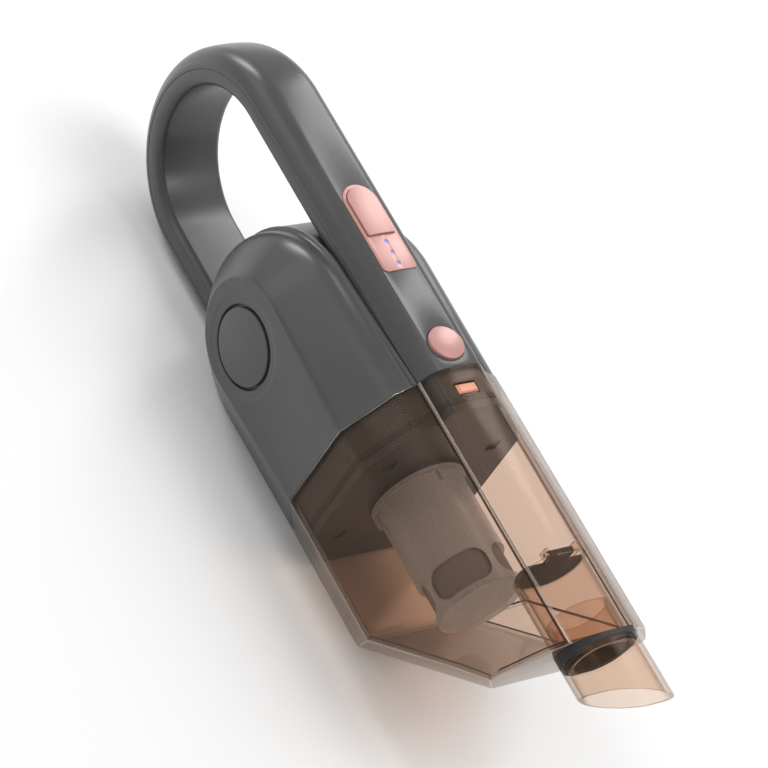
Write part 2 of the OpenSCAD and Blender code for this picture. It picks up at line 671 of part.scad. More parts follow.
module inlet_flap() color("#2a2a2a") difference() {
    union() {
        along_x(duct_back_x - 0.1 - flap_t, duct_back_x - 0.1) intersection() {
            translate([0, snout_z]) oval_2d(spigot_r + 1.2);
            union() {
                translate([-30, 0]) square([60, flap_pin_z - 7.3]);
                translate([-flap_top_y, 0]) square([2 * flap_top_y, flap_pin_z - 5.3]);
            }
        }
        translate([duct_back_x - 0.1 - flap_t, -flap_ear_y + 0.3, flap_pin_z - 6])
            cube([flap_t, 2 * flap_ear_y - 0.6, 6]);
        rod_y(-flap_ear_y + 0.3, flap_ear_y - 0.3, flap_barrel_r, flap_pin_x, flap_pin_z);
    }
    rod_y(-10, 10, flap_pin_r + run_gap, flap_pin_x, flap_pin_z);
}

// ---- Filter ------------------------------------------------------------------------------------

module filter_frame() color([0.82, 0.8, 0.78, 0.7]) difference() {
    x1 = x_plate + filter_len;
    union() {
        rod_x(filter_x, x1, filter_r, 0, axis_z);
        rod_x(filter_x + 1.3, filter_x + 3.2, filter_r + 1.6, 0, axis_z);
        rod_x(x_plate - neck_wall + 0.2, filter_x + 1, filter_spigot_r, 0, axis_z);
        for (a = [90, 210, 330]) translate([filter_x + 3.2, 0, axis_z]) rotate([a, 0, 0])
            translate([0, filter_r - 0.5, -2.5]) cube([5, 2, 5]);
    }
    rod_x(filter_x + 1.8, x1 - filter_wall, filter_r - filter_wall, 0, axis_z);
    rod_x(x_plate - 5, filter_x + 5, intake_r - 2, 0, axis_z);
    for (a = [45:90:315]) translate([0, 0, axis_z]) rotate([a, 0, 0]) translate([window_x, 0, filter_r - 8])
        linear_extrude(12) soft_bar(0, window_len, window_half, 5.5, 5.5);
}
module filter_mesh() color("#4a4543") difference() {
    x1 = x_plate + filter_len - filter_wall;
    rod_x(window_x - 3, x1, filter_r - filter_wall - 0.05, 0, axis_z);
    rod_x(window_x - 4, x1 + 1, filter_r - filter_wall - 0.75, 0, axis_z);
}
module filter_pleats() color("#eeeeea") along_x(filter_x + 2, x_plate + filter_len - filter_wall - 0.2)
    translate([0, axis_z]) difference() {
        polygon([for (i = [0:2 * pleats - 1]) let (r = i % 2 == 0 ? filter_r - 3.2 : filter_r - 7.5)
            r * [cos(i * 180 / pleats), sin(i * 180 / pleats)]]);
        polygon([for (i = [0:2 * pleats - 1]) let (r = i % 2 == 0 ? filter_r - 4.4 : filter_r - 8.7)
            r * [cos(i * 180 / pleats), sin(i * 180 / pleats)]]);
    }
module filter_seal() color("#222222") difference() {
    rod_x(x_plate + 0.1, filter_x + 1.25, filter_r + 1.4, 0, axis_z);
    rod_x(x_plate - 1, filter_x + 3, filter_r + 0.02, 0, axis_z);
}

// ---- Nozzle ------------------------------------------------------------------------------------

module nozzle_tube() color([0.62, 0.48, 0.42, 0.45]) difference() {
    union() {
        along_x(snout_x - spigot_len, snout_x + 1) translate([0, snout_z]) oval_2d(spigot_r);
        along_x(snout_x, mouth_x + 30) translate([0, snout_z]) oval_2d(snout_r);
    }
    along_x(snout_x - spigot_len - 1, snout_x + 2.5) translate([0, snout_z]) oval_2d(spigot_r - snout_wall + 0.2);
    along_x(snout_x + 2, mouth_x + 31) translate([0, snout_z]) oval_2d(snout_r - snout_wall);
    ahead([mouth_x, 0, snout_z], mouth_slant);
}
module nozzle_collar() color("#2b2a2a") difference() {
    along_x(cup_turn_x, snout_x) translate([0, snout_z]) oval_2d(snout_r - 0.1);
    along_x(cup_turn_x - 1, snout_x + 1) translate([0, snout_z]) oval_2d(spigot_r + 0.02);
    difference() {
        translate([-big / 2, -big / 2, -big / 2]) cube(big * 1.6);
        ahead([cup_turn_x, 0, cup_turn_z], cup_lean, 0, -face_gap);
    }
}

// ---- Assembly ----------------------------------------------------------------------------------

right_pod_shell();
left_pod_shell();
handle_outer_shell();
handle_inner_shell();
switch_panel();
neck_frame();
neck_seal();
fan_shroud();
motor_can();
motor_bulkhead();
motor_cushion();
motor_screws();
battery_cells();
battery_holder();
cell_links();
control_board();
board_components();
power_switch();
status_lights();
charging_socket();
right_exhaust_cap();
left_exhaust_cap();
right_exhaust_foam();
left_exhaust_foam();
case_screws();
latch_pin();
latch_spring();
power_leads();
fan_wheel();
motor_shaft();
power_key();
release_button();
latch_lever();
cup_shell();
flap_pin();
inlet_flap();
filter_frame();
filter_mesh();
filter_pleats();
filter_seal();
nozzle_tube();
nozzle_collar();
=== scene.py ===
"""Looks of a cordless handheld vacuum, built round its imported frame.

Lengths are in metres in the frame's own axes: +X to the nozzle, +Z up to the spine with the keys,
Y across the two pods. Each sub-assembly is a class that shapes its pieces and dresses them.
"""
import json
import logging
import math
from collections.abc import Callable, Iterator, Sequence
from contextlib import contextmanager
from dataclasses import dataclass
from enum import Enum

import bmesh
import bpy
from mathutils import Matrix, Vector

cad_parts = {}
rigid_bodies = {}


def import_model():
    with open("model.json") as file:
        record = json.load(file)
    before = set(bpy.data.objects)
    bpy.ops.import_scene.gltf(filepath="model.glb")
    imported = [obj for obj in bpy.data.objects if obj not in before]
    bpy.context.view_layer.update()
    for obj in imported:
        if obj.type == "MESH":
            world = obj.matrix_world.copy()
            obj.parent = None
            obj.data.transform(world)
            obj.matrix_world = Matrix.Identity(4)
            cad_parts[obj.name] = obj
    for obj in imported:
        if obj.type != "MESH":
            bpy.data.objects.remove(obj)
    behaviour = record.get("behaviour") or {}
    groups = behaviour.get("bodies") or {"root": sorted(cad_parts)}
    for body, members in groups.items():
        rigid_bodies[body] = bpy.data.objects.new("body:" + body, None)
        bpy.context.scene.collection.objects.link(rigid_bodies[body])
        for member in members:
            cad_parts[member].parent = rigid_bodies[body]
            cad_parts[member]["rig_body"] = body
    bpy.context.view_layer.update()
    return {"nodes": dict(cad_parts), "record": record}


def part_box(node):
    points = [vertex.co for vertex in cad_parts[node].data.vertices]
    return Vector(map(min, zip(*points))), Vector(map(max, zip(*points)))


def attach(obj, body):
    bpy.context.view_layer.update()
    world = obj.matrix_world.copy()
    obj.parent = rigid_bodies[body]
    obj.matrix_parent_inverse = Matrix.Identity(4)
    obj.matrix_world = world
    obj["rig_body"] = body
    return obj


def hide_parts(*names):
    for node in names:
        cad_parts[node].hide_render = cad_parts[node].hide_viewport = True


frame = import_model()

LOG = logging.getLogger("handheld_vacuum")
MM = 0.001
Color = tuple[float, float, float]
Point = tuple[float, float, float]


class Element(Enum):
    """What an edit-mode selection is made of."""

    VERT = "VERT"
    EDGE = "EDGE"
    FACE = "FACE"


class Side(Enum):
    """The two halves of the body, by the sign of Y."""

    RIGHT = -1
    LEFT = 1


class Weave(Enum):
    """How a cloth-like finish is made."""

    MESH = "mesh"
    FELT = "felt"
    FOAM = "foam"


# ---- Finishes ------------------------------------------------------------------------------------


@dataclass(frozen=True)
class Finish:
    """A moulded, lacquered or metal surface.

    Attributes:
        name: Name of the Blender material.
        color: Linear base colour.
        roughness: Middle value of the roughness.
        metallic: Share of metal.
        coat: Weight of the clear coat.
        grain: Height of the fine grain.
        grain_size: Size of one grain.
        cloud: How far the colour drifts over the piece.
        fleck: Strength of the metallic fleck.
        brushed: Whether the grain runs along X as on drawn metal.
        edge_wear: How much raised edges are polished lighter.
    """

    name: str
    color: Color
    roughness: float = 0.4
    metallic: float = 0.0
    coat: float = 0.0
    grain: float = 0.02 * MM
    grain_size: float = 0.35 * MM
    cloud: float = 0.05
    fleck: float = 0.0
    brushed: bool = False
    edge_wear: float = 0.12

    def material(self) -> bpy.types.Material:
        """Returns the node material, which is made once."""
        found = bpy.data.materials.get(self.name)
        return found or self.build()

    def build(self) -> bpy.types.Material:
        """Makes the node tree: drifting colour, fine grain, uneven gloss, worn edges."""
        tree = NodeSheet(self.name)
        shader = tree.shader
        shader.inputs["Metallic"].default_value = self.metallic
        shader.inputs["Coat Weight"].default_value = self.coat
        shader.inputs["Coat Roughness"].default_value = 0.12
        stretch = (0.02, 1.0, 1.0) if self.brushed else (1.0, 1.0, 1.0)
        drift = tree.noise(26 * MM, detail=3.0)
        fine = tree.noise(self.grain_size, detail=2.0, stretch=stretch)
        dark = tuple(c * (1 - self.cloud) for c in self.color)
        light = tuple(min(1.0, c * (1 + self.cloud)) for c in self.color)
        color = tree.ramp(drift, (0.3, dark), (0.7, light))
        if self.fleck:
            spark = tree.noise(0.22 * MM, detail=1.0)
            color = tree.mix(tree.ramp(spark, (0.62, (0, 0, 0)), (0.78, (1, 1, 1))), color,
                             tuple(min(1.0, c + self.fleck) for c in self.color))
        worn = tree.ramp(tree.edges(), (0.52, (0, 0, 0)), (0.62, (self.edge_wear,) * 3))
        color = tree.mix(worn, color, tuple(min(1.0, c * 1.6 + 0.03) for c in self.color))
        tree.link(color, shader.inputs["Base Color"])
        tree.link(tree.span(drift, self.roughness * 0.9, self.roughness * 1.12),
                  shader.inputs["Roughness"])
        tree.link(tree.bump(fine, self.grain), shader.inputs["Normal"])
        return tree.done()


@dataclass(frozen=True)
class ClearFinish:
    """A tinted see-through plastic wall, darker along its edges, with faint moulding haze.

    Attributes:
        name: Name of the Blender material.
        tint: Linear colour that one surface lets through.
        solid: Linear colour of the share that doesn't let light through.
        face_on: Share of solid surface seen face on.
        grazing: Share of solid surface seen along the wall.
        roughness: Roughness of the polished wall.
        metallic: How much the solid share mirrors instead of scattering.
    """

    name: str
    tint: Color
    solid: Color
    face_on: float = 0.1
    grazing: float = 0.7
    roughness: float = 0.08
    metallic: float = 0.5

    def material(self) -> bpy.types.Material:
        """Returns the node material, which is made once."""
        found = bpy.data.materials.get(self.name)
        return found or self.build()

    def build(self) -> bpy.types.Material:
        """Makes the node tree: tinted clear share, solid share by angle, soft flow marks, scuffs."""
        tree = NodeSheet(self.name)
        shader = tree.shader
        shader.inputs["Metallic"].default_value = self.metallic
        drift = tree.noise(30 * MM, detail=2.0)
        scuff = tree.noise(0.9 * MM, detail=4.0, stretch=(0.15, 1.0, 1.0))
        dark = tuple(c * 0.9 for c in self.solid)
        tree.link(tree.ramp(drift, (0.3, dark), (0.7, self.solid)), shader.inputs["Base Color"])
        tree.link(tree.span(scuff, self.roughness * 0.6, self.roughness * 1.6),
                  shader.inputs["Roughness"])
        tree.link(tree.bump(drift, 0.05 * MM), shader.inputs["Normal"])
        tree.let_through(self.tint, self.face_on, self.grazing)
        return tree.done()


@dataclass(frozen=True)
class ClothFinish:
    """Mesh cloth, filter felt or open foam.

    Attributes:
        name: Name of the Blender material.
        color: Linear base colour.
        weave: Which structure the surface has.
        pitch: Size of one thread, fibre or cell.
    """

    name: str
    color: Color
    weave: Weave
    pitch: float

    def material(self) -> bpy.types.Material:
        """Returns the node material, which is made once."""
        found = bpy.data.materials.get(self.name)
        return found or self.build()

    def build(self) -> bpy.types.Material:
        """Makes the node tree with thread, fibre or cell relief and a soft sheen."""
        tree = NodeSheet(self.name)
        shader = tree.shader
        shader.inputs["Roughness"].default_value = 0.9
        shader.inputs["Sheen Weight"].default_value = 0.3
        if self.weave is Weave.FOAM:
            relief = tree.cells(self.pitch)
        elif self.weave is Weave.MESH:
            relief = tree.threads(self.pitch)
        else:
            relief = tree.noise(self.pitch, detail=6.0, stretch=(0.4, 1.0, 1.0))
        dark = tuple(c * (0.8 if self.weave is Weave.FELT else 0.45) for c in self.color)
        tree.link(tree.ramp(relief, (0.2, dark), (0.75, self.color)), shader.inputs["Base Color"])
        height = self.pitch * (0.08 if self.weave is Weave.FELT else 0.4)
        tree.link(tree.bump(relief, height), shader.inputs["Normal"])
        return tree.done()


class NodeSheet:
    """A material's node tree, with one method for each kind of node that the finishes use."""

    def __init__(self, name: str) -> None:
        """Starts an empty sheet with a shader and an output."""
        self.material = bpy.data.materials.new(name)
        self.material.use_nodes = True
        self.nodes = self.material.node_tree.nodes
        self.links = self.material.node_tree.links
        self.shader = next(n for n in self.nodes if n.type == "BSDF_PRINCIPLED")
        self.place = self.nodes.new("ShaderNodeTexCoord").outputs["Object"]

    def link(self, source: bpy.types.NodeSocket, target: bpy.types.NodeSocket) -> None:
        """Links one socket to another."""
        self.links.new(source, target)

    def mapped(self, scale: float, stretch: Point = (1.0, 1.0, 1.0)) -> bpy.types.NodeSocket:
        """Returns the object's coordinates, scaled and stretched."""
        node = self.nodes.new("ShaderNodeMapping")
        node.inputs["Scale"].default_value = tuple(scale * s for s in stretch)
        self.link(self.place, node.inputs["Vector"])
        return node.outputs["Vector"]

    def noise(self, size: float, detail: float, stretch: Point = (1.0, 1.0, 1.0)) -> bpy.types.NodeSocket:
        """Returns a noise value with lumps of a given size.

        Args:
            size: Size of one lump.
            detail: Octaves of finer noise.
            stretch: Scale along each axis.
        """
        node = self.nodes.new("ShaderNodeTexNoise")
        node.inputs["Scale"].default_value = 1.0
        node.inputs["Detail"].default_value = detail
        self.link(self.mapped(1 / size, stretch), node.inputs["Vector"])
        return node.outputs["Fac"]

    def cells(self, size: float) -> bpy.types.NodeSocket:
        """Returns the distance to the nearest cell centre, for foam."""
        node = self.nodes.new("ShaderNodeTexVoronoi")
        node.inputs["Scale"].default_value = 1.0
        self.link(self.mapped(1 / size), node.inputs["Vector"])
        return node.outputs["Distance"]

    def threads(self, pitch: float) -> bpy.types.NodeSocket:
        """Returns crossed threads: one wave along the piece and one round it."""
        value = None
        for direction in ("X", "Z"):
            wave = self.nodes.new("ShaderNodeTexWave")
            wave.bands_direction = direction
            wave.inputs["Scale"].default_value = 0.31
            wave.inputs["Distortion"].default_value = 0.4
            self.link(self.mapped(1 / pitch), wave.inputs["Vector"])
            value = wave.outputs["Fac"] if value is None else self.math("MAXIMUM", value, wave.outputs["Fac"])
        return value

    def edges(self) -> bpy.types.NodeSocket:
        """Returns how sharply the surface stands out, for worn edges."""
        return self.nodes.new("ShaderNodeNewGeometry").outputs["Pointiness"]

    def math(self, operation: str, a: bpy.types.NodeSocket, b: bpy.types.NodeSocket) -> bpy.types.NodeSocket:
        """Returns one value worked out from two."""
        node = self.nodes.new("ShaderNodeMath")
        node.operation = operation
        self.link(a, node.inputs[0])
        self.link(b, node.inputs[1])
        return node.outputs["Value"]

    def ramp(self, value: bpy.types.NodeSocket, low: tuple[float, Color],
             high: tuple[float, Color]) -> bpy.types.NodeSocket:
        """Returns a colour between two stops."""
        node = self.nodes.new("ShaderNodeValToRGB")
        for stop, (at, color) in zip(node.color_ramp.elements, (low, high)):
            stop.position = at
            stop.color = (*color, 1.0)
        self.link(value, node.inputs["Fac"])
        return node.outputs["Color"]

    def mix(self, share: bpy.types.NodeSocket, under: bpy.types.NodeSocket,
            over: Color) -> bpy.types.NodeSocket:
        """Returns one colour laid over another by a share."""
        node = self.nodes.new("ShaderNodeMix")
        node.data_type = "RGBA"
        self.link(share, node.inputs["Factor"])
        self.link(under, node.inputs["A"])
        node.inputs["B"].default_value = (*over, 1.0)
        return next(o for o in node.outputs if o.type == "RGBA")

    def span(self, value: bpy.types.NodeSocket, low: float, high: float) -> bpy.types.NodeSocket:
        """Returns the value spread between two limits."""
        node = self.nodes.new("ShaderNodeMapRange")
        node.inputs["From Min"].default_value = 0.3
        node.inputs["From Max"].default_value = 0.7
        node.inputs["To Min"].default_value = low
        node.inputs["To Max"].default_value = high
        self.link(value, node.inputs["Value"])
        return node.outputs["Result"]

    def bump(self, height: bpy.types.NodeSocket, depth: float) -> bpy.types.NodeSocket:
        """Returns a normal that is raised by a height of a given depth."""
        node = self.nodes.new("ShaderNodeBump")
        node.inputs["Strength"].default_value = 1.0
        node.inputs["Distance"].default_value = depth
        self.link(height, node.inputs["Height"])
        return node.outputs["Normal"]

    def let_through(self, tint: Color, face_on: float, grazing: float) -> None:
        """Mixes the shader with a clear one by the angle at which the surface is seen.

        Args:
            tint: Colour that the clear share lets through.
            face_on: Share of the shader seen face on.
            grazing: Share of the shader seen along the surface.
        """
        clear = self.nodes.new("ShaderNodeBsdfTransparent")
        clear.inputs["Color"].default_value = (*tint, 1.0)
        angle = self.nodes.new("ShaderNodeLayerWeight")
        angle.inputs["Blend"].default_value = 0.5
        share = self.nodes.new("ShaderNodeMapRange")
        share.interpolation_type = "SMOOTHERSTEP"
        share.inputs["From Min"].default_value = 0.35
        share.inputs["To Min"].default_value = face_on
        share.inputs["To Max"].default_value = grazing
        self.link(angle.outputs["Facing"], share.inputs["Value"])
        mix = self.nodes.new("ShaderNodeMixShader")
        self.link(share.outputs["Result"], mix.inputs["Fac"])
        self.link(clear.outputs["BSDF"], mix.inputs[1])
        self.link(self.shader.outputs["BSDF"], mix.inputs[2])
        output = next(n for n in self.nodes if n.type == "OUTPUT_MATERIAL")
        self.link(mix.outputs["Shader"], output.inputs["Surface"])

    def done(self) -> bpy.types.Material:
        """Returns the finished material."""
        return self.material


AnyFinish = Finish | ClearFinish | ClothFinish

BODY_SATIN = Finish("body_satin", (0.066, 0.066, 0.066), 0.3, grain=0.012 * MM)
SPINE_FLECK = Finish("spine_fleck", (0.075, 0.075, 0.075), 0.3, metallic=0.15,
                     grain=0.015 * MM, fleck=0.05)
CAP_SATIN = Finish("cap_satin", (0.07, 0.07, 0.07), 0.36, grain=0.015 * MM)
ROSE = Finish("rose_lacquer", (0.52, 0.265, 0.24), 0.33, metallic=0.15, coat=0.1, grain=0.008 * MM,
              cloud=0.03)
FRAME_DARK = Finish("frame_dark", (0.028, 0.028, 0.028), 0.4, grain=0.008 * MM)
RUBBER = Finish("rubber_black", (0.018, 0.018, 0.018), 0.6, grain=0.01 * MM, edge_wear=0.04)
STEEL = Finish("drawn_steel", (0.55, 0.56, 0.57), 0.3, metallic=1.0, brushed=True)
ZINC = Finish("zinc_steel", (0.6, 0.6, 0.58), 0.28, metallic=1.0)
SPRING = Finish("spring_wire", (0.5, 0.5, 0.5), 0.25, metallic=1.0)
NICKEL = Finish("nickel_strip", (0.6, 0.58, 0.52), 0.3, metallic=1.0)
CELL = Finish("cell_sleeve", (0.03, 0.16, 0.3), 0.3, coat=0.3)
BOARD = Finish("solder_mask", (0.02, 0.15, 0.05), 0.35, coat=0.3)
PARTS = Finish("component_black", (0.015, 0.015, 0.015), 0.45)
LEAD = Finish("lead_sleeve", (0.4, 0.02, 0.02), 0.45)
FAN = Finish("fan_moulding", (0.62, 0.62, 0.6), 0.45)
ORANGE = Finish("orange_latch", (0.66, 0.27, 0.15), 0.35, coat=0.2)
LENS = Finish("blue_lens", (0.03, 0.06, 0.6), 0.15, coat=0.5, cloud=0.1)
CUP_CLEAR = ClearFinish("cup_smoke", (0.965, 0.89, 0.835), (0.26, 0.215, 0.19), face_on=0.08)
# Painted shade: a near-black, darker-tinted finish for the cup's rounded inner edges. It stands in for the
# dark lines that the clear walls show along their edges.
CUP_SHADE_EDGE = ClearFinish("cup_edge_painted_shade", (0.5, 0.4, 0.34), (0.03, 0.024, 0.02), face_on=0.8, grazing=0.95)
# Painted highlight: a pale, partly mirroring finish for the cup's rounded outer edges. It draws light lines
# along them on top of the real reflection.
CUP_HIGHLIGHT_RIM = ClearFinish("cup_rim_painted_highlight", (0.96, 0.88, 0.82), (0.8, 0.7, 0.62), face_on=0.35, grazing=0.7,
                      metallic=0.7)
SNOUT_CLEAR = ClearFinish("snout_smoke", (0.96, 0.885, 0.825), (0.26, 0.21, 0.18), face_on=0.06,
                          grazing=0.6)
FILTER_CLEAR = ClearFinish("filter_frost", (0.93, 0.93, 0.93), (0.52, 0.52, 0.52), face_on=0.5,
                           roughness=0.3, metallic=0.05)
MESH_CLOTH = ClothFinish("mesh_cloth", (0.045, 0.04, 0.038), Weave.MESH, 0.5 * MM)
PLEAT_CLOTH = ClothFinish("pleat_cloth", (0.55, 0.55, 0.55), Weave.FELT, 0.35 * MM)
FOAM = ClothFinish("vent_foam", (0.03, 0.03, 0.03), Weave.FOAM, 1.1 * MM)

CAD_FINISHES: dict[str, AnyFinish] = {
    "body_shell": BODY_SATIN, "handle_shell": SPINE_FLECK, "rose_panel": ROSE, "rose_key": ROSE,
    "dark_frame": FRAME_DARK, "black_rubber": RUBBER, "motor_steel": STEEL, "zinc_steel": ZINC,
    "cell_sleeve": CELL, "nickel_strip": NICKEL, "circuit_board": BOARD, "black_parts": PARTS,
    "blue_lens": LENS, "cap_plastic": CAP_SATIN, "foam": FOAM, "spring_steel": SPRING,
    "lead_sleeve": LEAD, "fan_plastic": FAN, "orange_plastic": ORANGE, "clear_smoke": CUP_CLEAR,
    "clear_frost": FILTER_CLEAR, "mesh_cloth": MESH_CLOTH, "filter_cloth": PLEAT_CLOTH,
    "clear_brown": SNOUT_CLEAR,
}


# ---- Shaping -------------------------------------------------------------------------------------


class Workpiece:
    """A mesh that is shaped with Blender's modelling tools."""

    def __init__(self, name: str, add: Callable[..., object], scale: Point = (1.0, 1.0, 1.0),
                 **settings: object) -> None:
        """Adds a primitive at its size and place.

        Args:
            name: Name of the piece.
            add: The primitive's operator.
            scale: Size along the primitive's own axes.
            settings: The operator's settings.
        """
        bpy.ops.object.select_all(action="DESELECT")
        add(**settings)
        self.obj = bpy.context.active_object
        self.obj.name = self.obj.data.name = name
        self.obj.scale = scale
        self.settle()

    def settle(self) -> None:
        """Puts the object's place, turn and size into its mesh."""
        self.alone()
        bpy.ops.object.transform_apply(location=True, rotation=True, scale=True)

    def alone(self) -> None:
        """Selects this piece only and makes it active."""
        bpy.ops.object.select_all(action="DESELECT")
        self.obj.select_set(True)
        bpy.context.view_layer.objects.active = self.obj

    @contextmanager
    def editing(self) -> Iterator["Workpiece"]:
        """Holds the piece in edit mode."""
        self.alone()
        bpy.ops.object.mode_set(mode="EDIT")
        try:
            yield self
        finally:
            bpy.ops.object.mode_set(mode="OBJECT")

    def pick(self, test: Callable[[Vector, Vector], bool], kind: Element = Element.VERT) -> int:
        """Selects what a test finds by its middle and normal, and nothing else.

        Args:
            test: Given the middle and the normal, says whether to select.
            kind: What is tested.

        Returns:
            How many were selected.
        """
        bpy.ops.mesh.select_mode(type=kind.value)
        bpy.ops.mesh.select_all(action="DESELECT")
        mesh = bmesh.from_edit_mesh(self.obj.data)
        mesh.normal_update()
        found = 0
        if kind is Element.VERT:
            rows = [(v, v.co, v.normal) for v in mesh.verts]
        elif kind is Element.EDGE:
            rows = [(e, (e.verts[0].co + e.verts[1].co) / 2, e.verts[1].co - e.verts[0].co)
                    for e in mesh.edges]
        else:
            rows = [(f, f.calc_center_median(), f.normal) for f in mesh.faces]
        for item, middle, normal in rows:
            if test(middle, normal):
                item.select_set(True)
                found += 1
        mesh.select_flush_mode()
        bmesh.update_edit_mesh(self.obj.data)
        return found

    def pick_long_edges(self, slot: int, length: float = 6 * MM, angle: float = 22.0) -> None:
        """Selects the long sharp edges whose two faces lie in one material slot, and frees the slot.

        Args:
            slot: The faces' material slot.
            length: Least length of an edge.
            angle: Least angle between its faces, in degrees.
        """
        bpy.ops.mesh.select_mode(type="EDGE")
        bpy.ops.mesh.select_all(action="DESELECT")
        mesh = bmesh.from_edit_mesh(self.obj.data)
        for edge in mesh.edges:
            if (len(edge.link_faces) == 2 and edge.calc_length() > length
                    and all(f.material_index == slot for f in edge.link_faces)
                    and edge.calc_face_angle() > math.radians(angle)):
                edge.select_set(True)
        for face in mesh.faces:
            if face.material_index == slot:
                face.material_index = 0
        bmesh.update_edit_mesh(self.obj.data)

    def all(self) -> None:
        """Selects the whole mesh."""
        bpy.ops.mesh.select_all(action="SELECT")

    def shift(self, place: Callable[[Vector], Point]) -> None:
        """Moves each selected vertex to where a rule says."""
        mesh = bmesh.from_edit_mesh(self.obj.data)
        for v in mesh.verts:
            if v.select:
                v.co = place(v.co.copy())
        bmesh.update_edit_mesh(self.obj.data)

    def push(self, by: Point) -> None:
        """Extrudes the selected faces."""
        bpy.ops.mesh.extrude_region_move(TRANSFORM_OT_translate={"value": by})

    def draw_out(self, by: Point = (0.0, 0.0, 0.0)) -> None:
        """Extrudes the selected edges."""
        bpy.ops.mesh.extrude_edges_move(TRANSFORM_OT_translate={"value": by})

    def round_corners(self, offset: float, segments: int) -> None:
        """Rounds the selected corners of a flat outline."""
        bpy.ops.mesh.bevel(offset=offset, segments=segments, affect="VERTICES", offset_type="OFFSET")

    def round_edges(self, offset: float, segments: int = 4) -> None:
        """Rounds the selected edges."""
        bpy.ops.mesh.bevel(offset=offset, segments=segments, affect="EDGES", offset_type="OFFSET")

    def slice(self, point: Point, normal: Point, fill: bool = True) -> None:
        """Cuts off what lies in front of a plane.

        Args:
            point: A point on the plane.
            normal: The plane's normal, towards what is cut off.
            fill: Whether the cut is closed.
        """
        self.all()
        bpy.ops.mesh.bisect(plane_co=point, plane_no=normal, use_fill=fill, clear_outer=True,
                            threshold=1e-7)

    def join_doubles(self, distance: float = 0.004 * MM) -> None:
        """Merges vertices that lie together."""
        self.all()
        bpy.ops.mesh.remove_doubles(threshold=distance)

    def face_out(self, towards: Point) -> None:
        """Makes the faces point outwards, judged by the outermost face in a direction."""
        self.all()
        bpy.ops.mesh.normals_make_consistent(inside=False)
        mesh = bmesh.from_edit_mesh(self.obj.data)
        mesh.normal_update()
        way = Vector(towards)
        probe = max(mesh.faces, key=lambda f: f.calc_center_median() @ way + 1e-4 * abs(f.normal @ way))
        if probe.normal @ way < 0:
            bpy.ops.mesh.flip_normals()

    def modify(self, kind: str, **settings: object) -> None:
        """Adds one modifier with its settings and applies it."""
        self.alone()
        modifier = self.obj.modifiers.new(kind.lower(), kind)
        for key, value in settings.items():
            setattr(modifier, key, value)
        bpy.ops.object.modifier_apply(modifier=modifier.name)

    def thicken(self, wall: float) -> None:
        """Gives an open surface a wall behind its outer face."""
        self.modify("SOLIDIFY", thickness=wall, offset=-1.0, use_even_offset=False, use_rim=True)

    def soften(self, width: float, segments: int = 3, angle: float = 30.0, material: int = -1) -> None:
        """Rounds every edge sharper than an angle, with the new faces in a material slot."""
        self.modify("BEVEL", width=width, segments=segments, limit_method="ANGLE", material=material,
                    angle_limit=math.radians(angle), use_clamp_overlap=True)

    def line(self, *finishes: "AnyFinish") -> None:
        """Gives the piece its material slots, the main finish first."""
        self.obj.data.materials.clear()
        for finish in finishes:
            self.obj.data.materials.append(finish.material())

    def combine(self, tool: "Workpiece", operation: str, overlapping: bool = False) -> None:
        """Applies a boolean with another piece, which is used up.

        Args:
            tool: The other piece.
            operation: Union or difference.
            overlapping: Whether this piece's own walls may touch each other.
        """
        self.modify("BOOLEAN", object=tool.obj, operation=operation, solver="EXACT",
                    use_self=overlapping)
        bpy.data.objects.remove(tool.obj)

    def joined(self, others: Sequence["Workpiece"]) -> "Workpiece":
        """Joins other pieces into this one and returns it."""
        self.alone()
        for other in others:
            other.obj.select_set(True)
        bpy.ops.object.join()
        return self

    def copy(self, name: str) -> "Workpiece":
        """Returns a copy with its own mesh."""
        twin = object.__new__(Workpiece)
        twin.obj = self.obj.copy()
        twin.obj.data = self.obj.data.copy()
        bpy.context.scene.collection.objects.link(twin.obj)
        twin.obj.name = twin.obj.data.name = name
        return twin

    def mirror(self) -> None:
        """Turns the piece into its mirror image across Y and sets its faces right again."""
        self.obj.data.transform(Matrix.Scale(-1.0, 4, (0.0, 1.0, 0.0)))
        self.obj.data.flip_normals()

    def smooth(self, angle: float = 32.0) -> None:
        """Shades the piece smooth, with edges sharper than the angle kept."""
        self.alone()
        bpy.ops.object.shade_smooth_by_angle(angle=math.radians(angle))

    def dress(self, finish: AnyFinish, body: str, node: str, slot: str) -> None:
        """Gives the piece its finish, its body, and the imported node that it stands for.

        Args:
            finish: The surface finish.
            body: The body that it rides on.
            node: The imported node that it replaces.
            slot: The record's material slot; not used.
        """
        if len(self.obj.data.materials) < 2:
            self.line(finish)
        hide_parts(node)
        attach(self.obj, body)
        LOG.info("%s: %d faces on %s", self.obj.name, len(self.obj.data.polygons), body)


def rounded_path(keys: Sequence[Sequence[Vector]], radii: Sequence[float],
                 steps: Sequence[int]) -> list[list[Vector]]:
    """Works out loops of points along key loops, with each key rounded.

    Args:
        keys: Loops of points, all of one length.
        radii: For each key, how far from it the rounding starts. 0 keeps it sharp.
        steps: For each key, how many loops its rounding takes.

    Returns:
        The loops from the first key to the last.
    """
    loops: list[list[Vector]] = [list(keys[0])]
    for i in range(1, len(keys) - 1):
        if radii[i] <= 0:
            loops.append(list(keys[i]))
            continue
        for step in range(steps[i] + 1):
            t = step / steps[i]
            loop = []
            for before, here, after in zip(keys[i - 1], keys[i], keys[i + 1]):
                a, b = before - here, after - here
                start = here + (a.normalized() * min(radii[i], a.length * 0.48) if a.length else a)
                end = here + (b.normalized() * min(radii[i], b.length * 0.48) if b.length else b)
                loop.append((1 - t) ** 2 * start + 2 * t * (1 - t) * here + t * t * end)
            loops.append(loop)
    loops.append(list(keys[-1]))
    return loops


# ---- Layout shared by the sub-assemblies -----------------------------------------------------------


